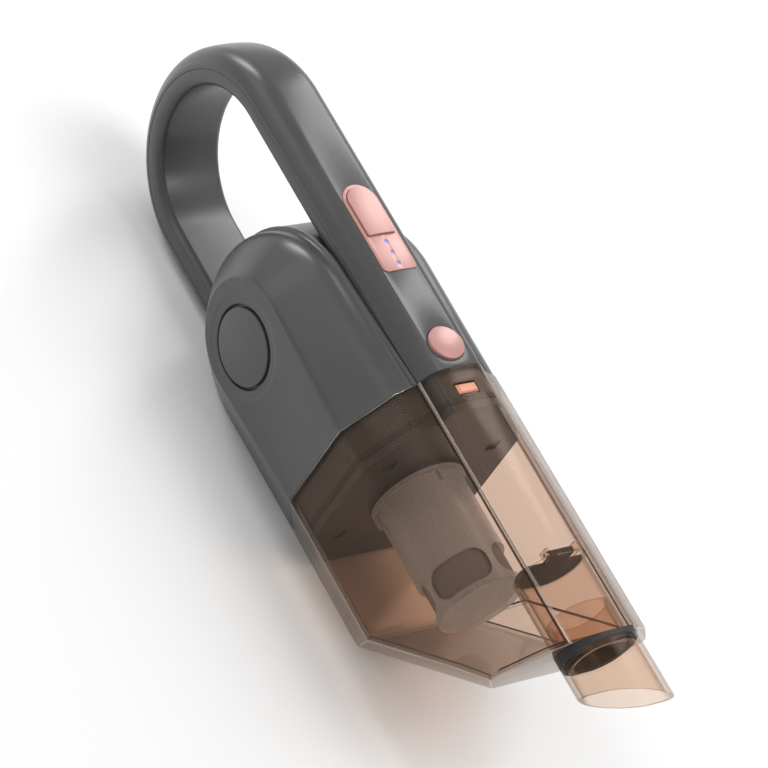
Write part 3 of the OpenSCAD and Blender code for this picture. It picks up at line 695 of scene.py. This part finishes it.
@dataclass
class Layout:
    """Driving places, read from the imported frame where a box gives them."""

    part_x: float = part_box("left_pod_shell")[1].x
    side_y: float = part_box("left_pod_shell")[1].y
    top_z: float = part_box("cup_shell")[1].z
    tube_y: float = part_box("handle_inner_shell")[1].y
    rear_x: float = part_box("handle_outer_shell")[0].x
    axis_z: float = sum(v.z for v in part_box("motor_shaft")) / 2
    tube_t: float = 16.5 * MM
    keel: float = 0.5 * MM
    crown: float = 2.0 * MM
    gap: float = 0.25 * MM

    @property
    def limb_z(self) -> float:
        """Height of the lower limb's inner face."""
        return self.tube_t - self.keel

    @property
    def spine_z(self) -> float:
        """Height of the spine's inner face."""
        return self.top_z - self.tube_t

    @property
    def bend_r(self) -> float:
        """Radius of the bend's inner face."""
        return (self.spine_z - self.limb_z) / 2

    @property
    def bend_z(self) -> float:
        """Height of the bend's centre."""
        return (self.spine_z + self.limb_z) / 2

    @property
    def bend_x(self) -> float:
        """Place of the bend's centre along the body."""
        return self.rear_x + self.bend_r + self.tube_t

    @property
    def crown_r(self) -> float:
        """Radius of the tube's crown."""
        return (self.tube_y ** 2 + self.crown ** 2) / (2 * self.crown)


LAYOUT = Layout()


# ---- Pods ----------------------------------------------------------------------------------------


@dataclass
class Outline:
    """One level of a pod: a round rear end and straight runs to the parting face."""

    y: float
    x: float
    z: float
    r: float
    low: float
    high: float

    def at(self, k: int, front_x: float) -> Vector:
        """Returns the loop's point k of 96, anticlockwise from the top of the round end."""
        top, bottom = Vector((self.x, self.y, self.z + self.r)), Vector((self.x, self.y, self.z - self.r))
        high, low = Vector((front_x, self.y, self.high)), Vector((front_x, self.y, self.low))
        if k <= 48:
            a = math.radians(90 + k * 3.75)
            return Vector((self.x + self.r * math.cos(a), self.y, self.z + self.r * math.sin(a)))
        if k <= 64:
            return bottom.lerp(low, (k - 48) / 16)
        if k <= 80:
            return low.lerp(high, (k - 64) / 16)
        return high.lerp(top, (k - 80) / 16)


@dataclass
class Pods:
    """The two side pods, with the round vent openings and the left pod's screw wells."""

    crease_z: float = 73.7 * MM
    belly_crease_z: float = 25.5 * MM
    belly_y: float = 28 * MM
    shoulder_y: float = 26.2 * MM
    flat_r: float = 27 * MM
    flat_x: float = -1 * MM
    rim_x: float = 3 * MM
    brow: float = 1.5 * MM
    vent_r: float = 18 * MM
    dish: float = 0.3 * MM
    wall: float = 2.0 * MM
    well_r: float = 3.0 * MM
    well_y: float = 24 * MM
    wells: tuple[tuple[float, float], ...] = ((-38, 0), (6, 34), (6, -24.5), (48, 34), (48, -24.5))

    def ring(self, r: float, y: float) -> list[Vector]:
        """Returns a round loop about the vent's axis."""
        points = []
        for k in range(96):
            a = math.radians(90 + k * 3.75)
            points.append(Vector((r * math.cos(a), y, LAYOUT.axis_z + r * math.sin(a))))
        return points

    def keys(self) -> tuple[list[list[Vector]], list[float], list[int]]:
        """Returns the key loops from the vent's edge out to the seam between the pods."""
        side, top = LAYOUT.side_y, LAYOUT.top_z
        shoulder, rim = top - 12.7 * MM, top - 7.5 * MM
        low = -(self.belly_y - self.shoulder_y) * self.belly_crease_z / (side - self.belly_y)
        mid = (shoulder + low) / 2
        r = (shoulder - low) / 2
        flat_z = (self.crease_z + self.belly_crease_z) / 2 + 0.4 * MM
        channel = LAYOUT.tube_y + LAYOUT.gap
        inner = 6 * MM

        def loop(y: float, x: float, z: float, radius: float, lower: float, upper: float) -> list[Vector]:
            shape = Outline(y, x, z, radius, lower, upper)
            return [shape.at(k, LAYOUT.part_x) for k in range(96)]

        def lip(y: float, drop: float, grow: float) -> list[Vector]:
            rise = (rim - shoulder) * (self.shoulder_y - y) / (self.shoulder_y - channel)
            return loop(y, self.rim_x, mid, r + grow - drop, mid - r, shoulder + rise - drop)

        def in_channel(points: list[Vector], y: float) -> list[Vector]:
            floor, roof = LAYOUT.limb_z + LAYOUT.gap, LAYOUT.spine_z - LAYOUT.gap
            return [Vector((p.x, y, min(max(p.z, floor), roof))) for p in points]

        brow = lip(channel, 0.35 * MM, self.brow)
        keys = [
            self.ring(self.vent_r, side - self.wall - 0.4 * MM),
            self.ring(self.vent_r, side - self.dish),
            self.ring(self.vent_r + 3.0 * MM, side - self.dish),
            self.ring(self.vent_r + 4.4 * MM, side),
            loop(side, self.flat_x, flat_z, self.flat_r - 0.6 * MM, self.belly_crease_z + inner,
                 self.crease_z - inner),
            loop(side, self.flat_x, flat_z, self.flat_r, self.belly_crease_z, self.crease_z),
            loop(self.shoulder_y, self.rim_x, mid, r, mid - r, shoulder),
            lip(channel + 2.9 * MM, 1.0 * MM, self.brow * 0.55),
            lip(channel + 1.4 * MM, -0.1 * MM, self.brow),
            brow,
            in_channel(brow, channel),
            in_channel(brow, 0.12 * MM),
        ]
        radii = [0, 0.5, 0.9, 0.6, 0, 2.5, 6.0, 1.2, 0.55, 0.35, 0.3, 0]
        steps = [0, 3, 4, 4, 0, 8, 10, 4, 4, 3, 2, 0]
        return keys, [v * MM for v in radii], steps

    def shell(self) -> Workpiece:
        """Returns the left pod's shell, drawn out loop by loop from the vent's edge."""
        keys, radii, steps = self.keys()
        loops = rounded_path(keys, radii, steps)
        pod = Workpiece("left_pod", bpy.ops.mesh.primitive_circle_add, vertices=96, radius=self.vent_r,
                        location=(0, LAYOUT.side_y, LAYOUT.axis_z), rotation=(math.pi / 2, 0, 0))
        with pod.editing():
            mesh = bmesh.from_edit_mesh(pod.obj.data)
            order = mesh.verts.layers.int.new("order")
            for v in mesh.verts:
                angle = math.degrees(math.atan2(v.co.z - LAYOUT.axis_z, v.co.x))
                v[order] = round((angle - 90) / 3.75) % 96
            bmesh.update_edit_mesh(pod.obj.data)
            pod.all()
            for i, points in enumerate(loops):
                if i:
                    pod.draw_out()
                mesh = bmesh.from_edit_mesh(pod.obj.data)
                order = mesh.verts.layers.int["order"]
                for v in mesh.verts:
                    if v.select:
                        p = points[v[order]]
                        v.co = (p.x, p.y, max(p.z, 0.0))
                bmesh.update_edit_mesh(pod.obj.data)
            front = LAYOUT.part_x - 0.01 * MM
            mesh = bmesh.from_edit_mesh(pod.obj.data)
            flat = [f for f in mesh.faces if all(v.co.x > front for v in f.verts)]
            bmesh.ops.delete(mesh, geom=flat, context="FACES")
            bmesh.update_edit_mesh(pod.obj.data)
            pod.join_doubles()
            bpy.ops.mesh.dissolve_degenerate(threshold=0.002 * MM)
            pod.face_out((0, 1, 0))
        pod.thicken(self.wall)
        return pod

    def bar(self, x: float, z: float, r: float, y: tuple[float, float]) -> Workpiece:
        """Returns a round bar along Y at a screw's place."""
        return Workpiece("bar", bpy.ops.mesh.primitive_cylinder_add, vertices=40, radius=r,
                         depth=y[1] - y[0], rotation=(math.pi / 2, 0, 0),
                         location=(x * MM, (y[0] + y[1]) / 2, LAYOUT.axis_z + z * MM))

    def sink_wells(self, pod: Workpiece) -> None:
        """Adds the screw sleeves behind the left pod's wall and cuts the wells and the socket."""
        sleeves, holes = [], []
        for x, z in self.wells:
            r = self.well_r + 1.1 * MM
            skin = min(pod.obj.ray_cast(Vector((x * MM + a * r, 80 * MM, LAYOUT.axis_z + z * MM + b * r)),
                                        Vector((0, -1, 0)))[1].y
                       for a, b in ((1, 0), (-1, 0), (0, 1), (0, -1), (0.7, 0.7), (-0.7, 0.7)))
            sleeves.append(self.bar(x, z, r, (self.well_y - 4 * MM, skin - 0.5 * MM)))
            holes.append(self.bar(x, z, self.well_r, (self.well_y, 60 * MM)))
        low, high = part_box("charging_socket")
        holes.append(Workpiece("slot", bpy.ops.mesh.primitive_cube_add, size=1,
                               scale=(14 * MM, high.y - low.y + 0.6 * MM, high.z - low.z + 0.6 * MM),
                               location=(low.x - 2 * MM, (low.y + high.y) / 2, (low.z + high.z) / 2)))
        pod.combine(sleeves[0].joined(sleeves[1:]), "UNION", overlapping=True)
        pod.combine(holes[0].joined(holes[1:]), "DIFFERENCE", overlapping=True)

    def build(self) -> None:
        """Makes both pods."""
        left = self.shell()
        right = left.copy("right_pod")
        right.mirror()
        self.sink_wells(left)
        for pod, side in ((left, Side.LEFT), (right, Side.RIGHT)):
            pod.smooth(40)
            pod.dress(BODY_SATIN, "body", f"{side.name.lower()}_pod_shell", "body_shell")


# ---- Handle --------------------------------------------------------------------------------------


@dataclass
class Handle:
    """The looped tube: an outer and an inner shell that meet on a fine seam."""

    corner_out: float = 9 * MM
    corner_in: float = 4 * MM
    split: float = 7.2 * MM
    seam: float = 0.06 * MM
    wall: float = 2.0 * MM
    bend_steps: int = 72

    def section(self, name: str, outer: bool) -> Workpiece:
        """Returns one shell's open section at the front of the spine."""
        base, t = LAYOUT.spine_z, LAYOUT.tube_t
        piece = Workpiece(name, bpy.ops.mesh.primitive_plane_add, size=1,
                          scale=(t, 2 * LAYOUT.tube_y, 1), location=(LAYOUT.part_x, 0, base + t / 2),
                          rotation=(0, math.pi / 2, 0))
        cut = base + self.split + (self.seam if outer else -self.seam)
        with piece.editing():
            piece.pick(lambda p, n: p.z > base + t / 2)
            piece.round_corners(self.corner_out, 14)
            piece.pick(lambda p, n: p.z < base + 0.1 * MM)
            piece.round_corners(self.corner_in, 8)
            piece.pick(lambda p, n: p.z > base + t - 0.01 * MM, Element.EDGE)
            bpy.ops.mesh.subdivide(number_cuts=12)
            piece.slice((0, 0, cut), (0, 0, -1) if outer else (0, 0, 1), fill=False)
            piece.pick(lambda p, n: outer and p.z > base + self.split)
            if outer:
                piece.shift(lambda p: (p.x, p.y, p.z - p.y ** 2 / (2 * LAYOUT.crown_r)
                                       * min(1.0, (p.z - cut) / (5 * MM))))
            piece.all()
            bpy.ops.mesh.delete(type="ONLY_FACE")
            piece.pick(lambda p, n: abs(p.z - cut) < 0.01 * MM and abs(p.y) < 1 * MM, Element.EDGE)
            bpy.ops.mesh.delete(type="EDGE")
        return piece

    def sweep(self, piece: Workpiece) -> None:
        """Runs an open section along the spine, round the bend and back along the limb."""
        run = LAYOUT.part_x - LAYOUT.bend_x
        with piece.editing():
            piece.all()
            piece.draw_out((-run, 0, 0))
            bpy.ops.mesh.spin(steps=self.bend_steps, angle=math.pi,
                              center=(LAYOUT.bend_x, 0, LAYOUT.bend_z), axis=(0, 1, 0))
            piece.draw_out((run, 0, 0))
            piece.join_doubles()
            piece.pick(lambda p, n: p.z < 0)
            piece.shift(lambda p: (p.x, p.y, 0.0))

    def build(self) -> None:
        """Makes both shells and opens the outer one for the panel and the button."""
        outer, inner = self.section("handle_outer", True), self.section("handle_inner", False)
        for piece, probe in ((outer, (0, 0, 1)), (inner, (0, 1, 0))):
            self.sweep(piece)
            with piece.editing():
                piece.face_out(probe)
            piece.thicken(self.wall)
        for cutter in (Panel().blank("panel_cut", -0.12 * MM, 12 * MM), Button().hole()):
            outer.combine(cutter, "DIFFERENCE")
        outer.soften(0.22 * MM, 2, 50)
        inner.soften(0.22 * MM, 2, 50)
        for piece, node in ((outer, "handle_outer_shell"), (inner, "handle_inner_shell")):
            piece.smooth(38)
            piece.dress(SPINE_FLECK, "body", node, "handle_shell")


# ---- Controls ------------------------------------------------------------------------------------


@dataclass
class Panel:
    """The rose switch panel with its raised key and three lights."""

    back_x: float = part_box("switch_panel")[0].x
    front_x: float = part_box("switch_panel")[1].x
    half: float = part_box("switch_panel")[1].y
    key_back_x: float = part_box("power_key")[0].x
    key_front_x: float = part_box("power_key")[1].x
    key_half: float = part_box("power_key")[1].y
    proud: float = 0.3 * MM
    key_proud: float = 0.9 * MM
    deep: float = 2.6 * MM
    gap: float = 0.3 * MM
    light_r: float = 0.95 * MM

    def crowned(self, piece: Workpiece, rise: float) -> None:
        """Bends the whole blank down to both sides as the spine's crown does."""
        with piece.editing():
            piece.all()
            piece.shift(lambda p: (p.x, p.y, p.z + rise - p.y ** 2 / (2 * LAYOUT.crown_r)))

    def outline(self, name: str, box: tuple[float, float, float], corners: tuple[float, float],
                z: float) -> Workpiece:
        """Returns a flat plate with a round rear end.

        Args:
            name: Name of the piece.
            box: Rear end, front end and half width.
            corners: Radii at the rear and at the front.
            z: Height of the plate.
        """
        back, front, half = box
        piece = Workpiece(name, bpy.ops.mesh.primitive_plane_add, size=1,
                          scale=(front - back, 2 * half, 1), location=((front + back) / 2, 0, z))
        with piece.editing():
            for sign, r in ((-1, corners[0]), (1, corners[1])):
                middle = (front + back) / 2
                piece.pick(lambda p, n, s=sign: s * (p.x - middle) > (front - back) * 0.45)
                piece.round_corners(r, 14 if r > 4 * MM else 6)
        return piece

    def blank(self, name: str, inset: float, depth: float, key: bool = False) -> Workpiece:
        """Returns a solid plate of the panel's or the key's outline, down from the crown.

        Args:
            name: Name of the piece.
            inset: How much smaller than the outline it is, all round.
            depth: Thickness downwards.
            key: Whether it is the key's outline.
        """
        back, front, half = ((self.key_back_x, self.key_front_x, self.key_half) if key
                             else (self.back_x, self.front_x, self.half))
        box = (back + inset, front - inset, half - inset)
        front_r = 0.8 * MM if key else 2.6 * MM
        piece = self.outline(name, box, (box[2] * 0.985, front_r), LAYOUT.top_z + 2 * MM)
        with piece.editing():
            piece.all()
            piece.push((0, 0, -depth - 2 * MM))
            bpy.ops.mesh.select_all(action="SELECT")
            bpy.ops.mesh.normals_make_consistent(inside=False)
        return piece

    def plate(self, name: str, inset: float, depth: float, rise: float, key: bool) -> Workpiece:
        """Returns a crowned, edge-rounded plate with enough rows across to bend smoothly."""
        back, front, half = ((self.key_back_x, self.key_front_x, self.key_half) if key
                             else (self.back_x, self.front_x, self.half))
        box = (back + inset, front - inset, half - inset)
        piece = self.outline(name, box, (box[2] * 0.985, 0.8 * MM if key else 2.6 * MM), LAYOUT.top_z)
        with piece.editing():
            for i in range(-9, 10):
                piece.all()
                bpy.ops.mesh.bisect(plane_co=(0, i * half / 9.7, 0), plane_no=(0, 1, 0))
            piece.all()
            piece.push((0, 0, -depth))
            piece.all()
            bpy.ops.mesh.normals_make_consistent(inside=False)
        self.crowned(piece, rise)
        return piece

    def build(self) -> None:
        """Makes the panel and the key and dresses them."""
        panel = self.plate("panel", 0.0, self.deep, self.proud, False)
        panel.combine(self.blank("key_cut", -self.gap, 8 * MM, key=True), "DIFFERENCE")
        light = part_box("status_lights")
        pitch = (light[1].x - light[0].x - 2 * self.light_r) / 2
        for i in range(3):
            hole = Workpiece("light_cut", bpy.ops.mesh.primitive_cylinder_add, vertices=32,
                             radius=self.light_r, depth=20 * MM,
                             location=(light[0].x + self.light_r + i * pitch, 0, LAYOUT.top_z))
            panel.combine(hole, "DIFFERENCE")
        panel.soften(0.16 * MM, 3, 40)
        key = self.plate("key", 0.0, self.deep + 0.6 * MM, self.proud + self.key_proud, True)
        key.soften(0.55 * MM, 4, 40)
        panel.smooth(40)
        key.smooth(40)
        panel.dress(ROSE, "body", "switch_panel", "rose_panel")
        key.dress(ROSE, "power_key", "power_key", "rose_key")


@dataclass
class Button:
    """The round release button with a domed top."""

    r: float = 8.0 * MM
    gap: float = 0.3 * MM
    proud: float = 2.4 * MM
    flange: float = 4.3 * MM

    @property
    def x(self) -> float:
        """Middle of the button."""
        low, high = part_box("release_button")
        return (low.x + high.x) / 2

    def hole(self) -> Workpiece:
        """Returns the cutter for the button's hole in the spine."""
        return Workpiece("button_cut", bpy.ops.mesh.primitive_cylinder_add, vertices=64,
                         radius=self.r + self.gap, depth=20 * MM, location=(self.x, 0, LAYOUT.top_z))

    def build(self) -> None:
        """Makes the domed button by stepping its top face inwards and up."""
        base = LAYOUT.top_z - self.flange
        skirt = 1.05 * MM
        button = Workpiece("button", bpy.ops.mesh.primitive_cylinder_add, vertices=72, radius=self.r,
                           depth=self.flange + skirt, location=(self.x, 0, base + (self.flange + skirt) / 2))
        dome_r = 32 * MM
        with button.editing():
            button.pick(lambda p, n: n.z > 0.9, Element.FACE)
            left = self.r
            for _ in range(8):
                inset = self.r / 9
                bpy.ops.mesh.inset(thickness=inset, depth=0)
                rise = ((dome_r ** 2 - (left - inset) ** 2) ** 0.5 - (dome_r ** 2 - left ** 2) ** 0.5)
                bpy.ops.transform.translate(value=(0, 0, rise))
                left -= inset
            button.pick(lambda p, n: abs((p - Vector((self.x, 0, p.z))).length - self.r) < 0.3 * MM
                        and abs(p.z - base - self.flange - skirt) < 0.01 * MM, Element.EDGE)
            button.round_edges(0.45 * MM, 5)
            button.pick(lambda p, n: n.z < -0.9, Element.FACE)
            bpy.ops.mesh.inset(thickness=4.5 * MM, depth=0)
            button.push((0, 0, -(base - LAYOUT.spine_z - 9.2 * MM)))
        button.smooth(50)
        button.dress(ROSE, "release_button", "release_button", "rose_key")


# ---- Clear cup and nozzle ------------------------------------------------------------------------


@dataclass
class Cup:
    """The clear dust cup: an eight-sided box with a spine ridge, a slanted front and a duct."""

    belly: float = 58 * MM
    turn_z: float = 61 * MM
    slant: float = 45.0
    lean: float = 10.8
    wall: float = 2.2 * MM
    crease_z: float = 73.7 * MM
    belly_crease_z: float = 25.5 * MM
    belly_y: float = 28 * MM
    shoulder_y: float = 26.2 * MM
    duct_r: float = 11.85 * MM
    snout_r: float = 14.5 * MM
    snout_flat: float = 3 * MM

    @property
    def turn_x(self) -> float:
        """Where the slanted front turns upright."""
        return LAYOUT.part_x + self.belly + self.turn_z / math.tan(math.radians(self.slant))

    def planes(self) -> list[tuple[Vector, Vector]]:
        """Returns the planes that bound the cup, each as a point and an outward normal."""
        side, shoulder, rim = LAYOUT.side_y, LAYOUT.top_z - 12.7 * MM, LAYOUT.top_z - 7.5 * MM
        planes = []
        for s in (-1, 1):
            for (y0, z0), (y1, z1) in (((self.belly_y, 0), (side, self.belly_crease_z)),
                                       ((side, self.crease_z), (self.shoulder_y, shoulder)),
                                       ((self.shoulder_y, shoulder), (LAYOUT.tube_y, rim))):
                planes.append((Vector((0, s * y0, z0)), Vector((0, s * (z1 - z0), y0 - y1)).normalized()))
            for point, pitch, yaw in (((LAYOUT.part_x, side, self.crease_z), -17.9, 88.7),
                                      ((self.turn_x - 30 * MM, side, self.turn_z - 16 * MM), 35, 45.6)):
                p, w = math.radians(pitch), math.radians(yaw)
                normal = Vector((math.cos(p) * math.cos(w), s * math.cos(p) * math.sin(w), -math.sin(p)))
                planes.append((Vector((point[0], s * point[1], point[2])), normal))
        planes += self.front_planes()
        return planes

    def front_planes(self) -> list[tuple[Vector, Vector]]:
        """Returns the slanted lower front and the leaning upper front."""
        return [(Vector((x, 0, z)), Vector((math.cos(math.radians(a)), 0, -math.sin(math.radians(a)))))
                for x, z, a in ((LAYOUT.part_x + self.belly, 0, self.slant),
                                (self.turn_x, self.turn_z, self.lean))]

    def form(self, name: str, inset: float, back_x: float) -> Workpiece:
        """Returns the cup's solid form, smaller by inset."""
        rim = LAYOUT.top_z - 7.5 * MM - inset
        front = 260 * MM
        half = LAYOUT.side_y - inset
        body = Workpiece(name, bpy.ops.mesh.primitive_cube_add, size=1,
                         scale=(front - back_x, 2 * half, rim - inset),
                         location=((front + back_x) / 2, 0, (rim + inset) / 2))
        with body.editing():
            for point, normal in self.planes():
                body.slice(point - normal * inset, normal)
        ridge = Workpiece("ridge", bpy.ops.mesh.primitive_plane_add, size=1,
                          scale=(LAYOUT.tube_t + 4 * MM - inset, 2 * (LAYOUT.tube_y - inset), 1),
                          location=(back_x, 0, LAYOUT.top_z - inset - (LAYOUT.tube_t + 4 * MM - inset) / 2),
                          rotation=(0, math.pi / 2, 0))
        with ridge.editing():
            ridge.pick(lambda p, n: p.z > LAYOUT.top_z - 8 * MM)
            ridge.round_corners(9 * MM - inset, 14)
            ridge.pick(lambda p, n: p.z > LAYOUT.top_z - inset - 0.01 * MM, Element.EDGE)
            bpy.ops.mesh.subdivide(number_cuts=10)
            ridge.pick(lambda p, n: p.z > LAYOUT.top_z - 11 * MM)
            ridge.shift(lambda p: (p.x, p.y, p.z - p.y ** 2 / (2 * LAYOUT.crown_r)
                                   * min(1.0, max(0.0, (p.z - LAYOUT.top_z + 10 * MM) / (5 * MM)))))
            ridge.all()
            ridge.push((front - back_x, 0, 0))
            ridge.all()
            bpy.ops.mesh.normals_make_consistent(inside=False)
            for point, normal in self.front_planes():
                ridge.slice(point - normal * inset, normal)
        body.combine(ridge, "UNION")
        # Slots: clear wall, painted-highlight finish for the outer edge roundings, painted-shade finish for
        # the inner edge roundings.
        body.line(CUP_CLEAR, CUP_HIGHLIGHT_RIM, CUP_SHADE_EDGE)
        with body.editing():
            body.join_doubles(0.01 * MM)
            corner = LAYOUT.part_x + self.belly
            body.pick(lambda p, n: abs(n.normalized().y) > 0.99 and p.z < 3 * MM
                      and abs(p.x - corner) < 4 * MM, Element.EDGE)
            body.round_edges(max(1.0 * MM, 5.0 * MM - inset), 8)
        return body

    def oval(self, name: str, r: float, x0: float, x1: float) -> Workpiece:
        """Returns a solid oval bar along the duct's axis."""
        z = LAYOUT.top_z - self.snout_r
        bar = Workpiece(name, bpy.ops.mesh.primitive_circle_add, vertices=64, radius=r, fill_type="NGON",
                        location=(x0, 0, z), rotation=(math.pi / 2, math.radians(180 / 64), math.pi / 2))
        with bar.editing():
            for sign in (-1, 1):
                bar.pick(lambda p, n, s=sign: s * p.y > 0)
                bpy.ops.transform.translate(value=(0, sign * self.snout_flat, 0))
            bar.all()
            bar.push((x1 - x0, 0, 0))
            bar.all()
            bpy.ops.mesh.normals_make_consistent(inside=False)
        return bar

    def build(self) -> None:
        """Makes the cup with its wall, duct and slot, then rounds its long edges inside and out, painting a
        highlight on the outer roundings and shade on the inner ones.
        """
        back = LAYOUT.part_x + 0.1 * MM
        duct_x = self.turn_x - 29 * MM
        cup = self.form("cup", 0.0, back)
        void = self.form("cup_void", self.wall, back - 1 * MM)
        # The inner faces carry slot 2, the painted-shade edge finish, so that their long edges can be found
        # and rounded dark below.
        for face in void.obj.data.polygons:
            face.material_index = 2
        cup.combine(void, "DIFFERENCE")
        duct = self.oval("duct", self.duct_r + 2.2 * MM, duct_x, self.turn_x + 30 * MM)
        with duct.editing():
            for point, normal in self.front_planes():
                duct.slice(point - normal * 0.5 * MM, normal)
        cup.combine(duct, "UNION")
        cup.combine(self.oval("duct_bore", self.duct_r, duct_x - 2 * MM, self.turn_x + 40 * MM), "DIFFERENCE")
        low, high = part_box("latch_lever")
        tab = 4.2 * MM
        slot = Workpiece("slot_cut", bpy.ops.mesh.primitive_cube_add, size=1,
                         scale=(tab + 1.2 * MM, high.y - low.y + 0.8 * MM, 9 * MM),
                         location=(high.x - tab / 2, 0, LAYOUT.top_z - 1.5 * MM))
        cup.combine(slot, "DIFFERENCE")
        with cup.editing():
            # Outer long edges are rounded with the painted-highlight finish (slot 1), inner ones with the
            # painted-shade finish (slot 2).
            for side, edge in ((0, 0.5 * MM), (2, 0.55 * MM)):
                cup.pick_long_edges(side)
                bpy.ops.mesh.bevel(offset=edge, segments=3, affect="EDGES", material=side or 1,
                                   clamp_overlap=False)
        for sign in (-1, 1):
            ear = Workpiece("ear", bpy.ops.mesh.primitive_cube_add, size=1, scale=(4 * MM, 2 * MM, 4.9 * MM),
                            location=(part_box("flap_pin")[0].x + 0.8 * MM, sign * 7.2 * MM,
                                      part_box("flap_pin")[0].z + 0.85 * MM))
            ear.soften(0.2 * MM, 2, 30)
            ear.line(CUP_CLEAR)
            cup.joined([ear])
        cup.smooth(30)
        cup.dress(CUP_CLEAR, "dust_cup", "cup_shell", "clear_smoke")


@dataclass
class Nozzle:
    """The clear oval nozzle with its slanted mouth."""

    length: float = 21 * MM
    slant: float = 39.0
    wall: float = 2.0 * MM

    def build(self) -> None:
        """Makes the nozzle from a ring that is drawn out, stepped and sliced."""
        cup = Cup()
        start = cup.turn_x + 11 * MM
        mouth = start + self.length
        z = LAYOUT.top_z - cup.snout_r
        spigot = 11.6 * MM
        nozzle = cup.oval("nozzle", cup.snout_r, start, mouth + 30 * MM)
        neck = cup.oval("neck", spigot, start - 18 * MM, start + 1 * MM)
        nozzle.combine(neck, "UNION")
        bore = cup.oval("bore", cup.snout_r - self.wall, start + 2 * MM, mouth + 32 * MM)
        nozzle.combine(bore, "DIFFERENCE")
        neck_bore = cup.oval("neck_bore", spigot - self.wall + 0.2 * MM, start - 20 * MM, start + 3 * MM)
        nozzle.combine(neck_bore, "DIFFERENCE")
        a = math.radians(self.slant)
        with nozzle.editing():
            nozzle.slice((mouth, 0, z), (math.cos(a), 0, -math.sin(a)))
        nozzle.soften(0.5 * MM, 3, 40)
        nozzle.smooth(35)
        nozzle.dress(SNOUT_CLEAR, "nozzle", "nozzle_tube", "clear_brown")


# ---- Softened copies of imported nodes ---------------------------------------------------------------


@dataclass
class SoftCopy:
    """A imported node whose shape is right, copied with its sharp edges rounded as moulded."""

    node: str
    edge: float = 0.3 * MM

    def build(self) -> None:
        """Copies the node, merges it, rounds its edges and dresses it."""
        source = frame["nodes"][self.node]
        slot = next(p["material_slot"] for p in frame["record"]["subparts"] if p["node"] == self.node)
        piece = object.__new__(Workpiece)
        piece.obj = bpy.data.objects.new(f"{self.node}_moulded", source.data.copy())
        bpy.context.scene.collection.objects.link(piece.obj)
        with piece.editing():
            piece.join_doubles(0.002 * MM)
            piece.all()
            bpy.ops.mesh.dissolve_limited(angle_limit=math.radians(2))
        piece.soften(self.edge, 2, 40)
        piece.smooth(35)
        piece.dress(CAD_FINISHES[slot], source["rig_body"], self.node, slot)


SOFT_NODES = (SoftCopy("right_exhaust_cap", 0.5 * MM), SoftCopy("left_exhaust_cap", 0.5 * MM))


def dress_packed_nodes() -> None:
    """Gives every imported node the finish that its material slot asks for."""
    for part in frame["record"]["subparts"]:
        node = frame["nodes"][part["node"]]
        finish = CAD_FINISHES[part["material_slot"]]
        node.data.materials.clear()
        node.data.materials.append(finish.material())


# ---- Studio --------------------------------------------------------------------------------------


WORLD_STRENGTH = 0.52
CLEAR_BOUNCES = 28


@dataclass
class Studio:
    """Pale floor, soft lights and the camera."""

    lens: float = 176.46
    location: Point = (0.65135, -0.9431, 1.1146)
    right: Point = (0.4603, 0.7773, 0.4288)
    up: Point = (-0.7934, 0.1436, 0.5915)
    back: Point = (0.3982, -0.6125, 0.6829)
    floor_size: float = 30.0

    def floor(self) -> None:
        """Lays a pale floor under the belly, with a fine uneven tone."""
        slab = Workpiece("floor", bpy.ops.mesh.primitive_plane_add, size=self.floor_size,
                         location=(0, 0, -0.02 * MM))
        tree = NodeSheet("floor_paint")
        tree.shader.inputs["Roughness"].default_value = 0.6
        tree.shader.inputs["Specular IOR Level"].default_value = 0.1
        tree.link(tree.ramp(tree.noise(0.4, detail=2.0), (0.3, (0.9, 0.9, 0.9)),
                            (0.7, (0.93, 0.93, 0.93))), tree.shader.inputs["Base Color"])
        slab.obj.data.materials.append(tree.done())

    def light(self, name: str, place: Point, size: tuple[float, float], power: float) -> None:
        """Hangs a soft box that faces the body."""
        data = bpy.data.lights.new(name, "AREA")
        data.shape = "RECTANGLE"
        data.size, data.size_y = size
        data.energy = power
        lamp = bpy.data.objects.new(name, data)
        bpy.context.scene.collection.objects.link(lamp)
        lamp.location = place
        lamp.rotation_mode = "QUATERNION"
        lamp.rotation_quaternion = (Vector((0.04, 0, 0.05)) - Vector(place)).to_track_quat("-Z", "Y")

    def world(self, strength: float) -> None:
        """Sets an even white surrounding light."""
        world = bpy.data.worlds.new("studio")
        world.use_nodes = True
        sky = next(n for n in world.node_tree.nodes if n.type == "BACKGROUND")
        sky.inputs["Color"].default_value = (1, 1, 1, 1)
        sky.inputs["Strength"].default_value = strength
        bpy.context.scene.world = world

    def camera(self) -> None:
        """Places the camera."""
        data = bpy.data.cameras.new("camera")
        data.lens, data.sensor_width = self.lens, 36.0
        data.clip_start, data.clip_end = 0.05, 60.0
        camera = bpy.data.objects.new("camera", data)
        bpy.context.scene.collection.objects.link(camera)
        axes = Matrix((self.right, self.up, self.back)).transposed().to_4x4()
        camera.matrix_world = Matrix.Translation(self.location) @ axes
        bpy.context.scene.camera = camera

    def build(self) -> None:
        """Sets up the whole studio."""
        self.floor()
        self.world(WORLD_STRENGTH)
        self.light("key", (0.5, 0.35, 1.3), (0.7, 0.9), 9.0)
        self.light("fill", (-0.9, -1.0, 0.9), (0.8, 0.8), 2.0)
        self.light("rim", (-0.6, 0.9, 0.8), (0.35, 0.8), 4.5)
        self.light("back", (-1.15, -0.2, 0.6), (0.2, 0.5), 5.0)
        self.camera()
        bpy.context.scene.view_settings.view_transform = "Standard"
        bpy.context.scene.cycles.transparent_max_bounces = CLEAR_BOUNCES


def main() -> None:
    """Builds every sub-assembly in order."""
    logging.basicConfig(level=logging.INFO, format="%(name)s %(message)s")
    dress_packed_nodes()
    for part in (Pods(), Handle(), Panel(), Button(), Cup(), Nozzle(), *SOFT_NODES, Studio()):
        LOG.info("building %s", type(part).__name__)
        part.build()


if __name__ == "__main__":
    main()
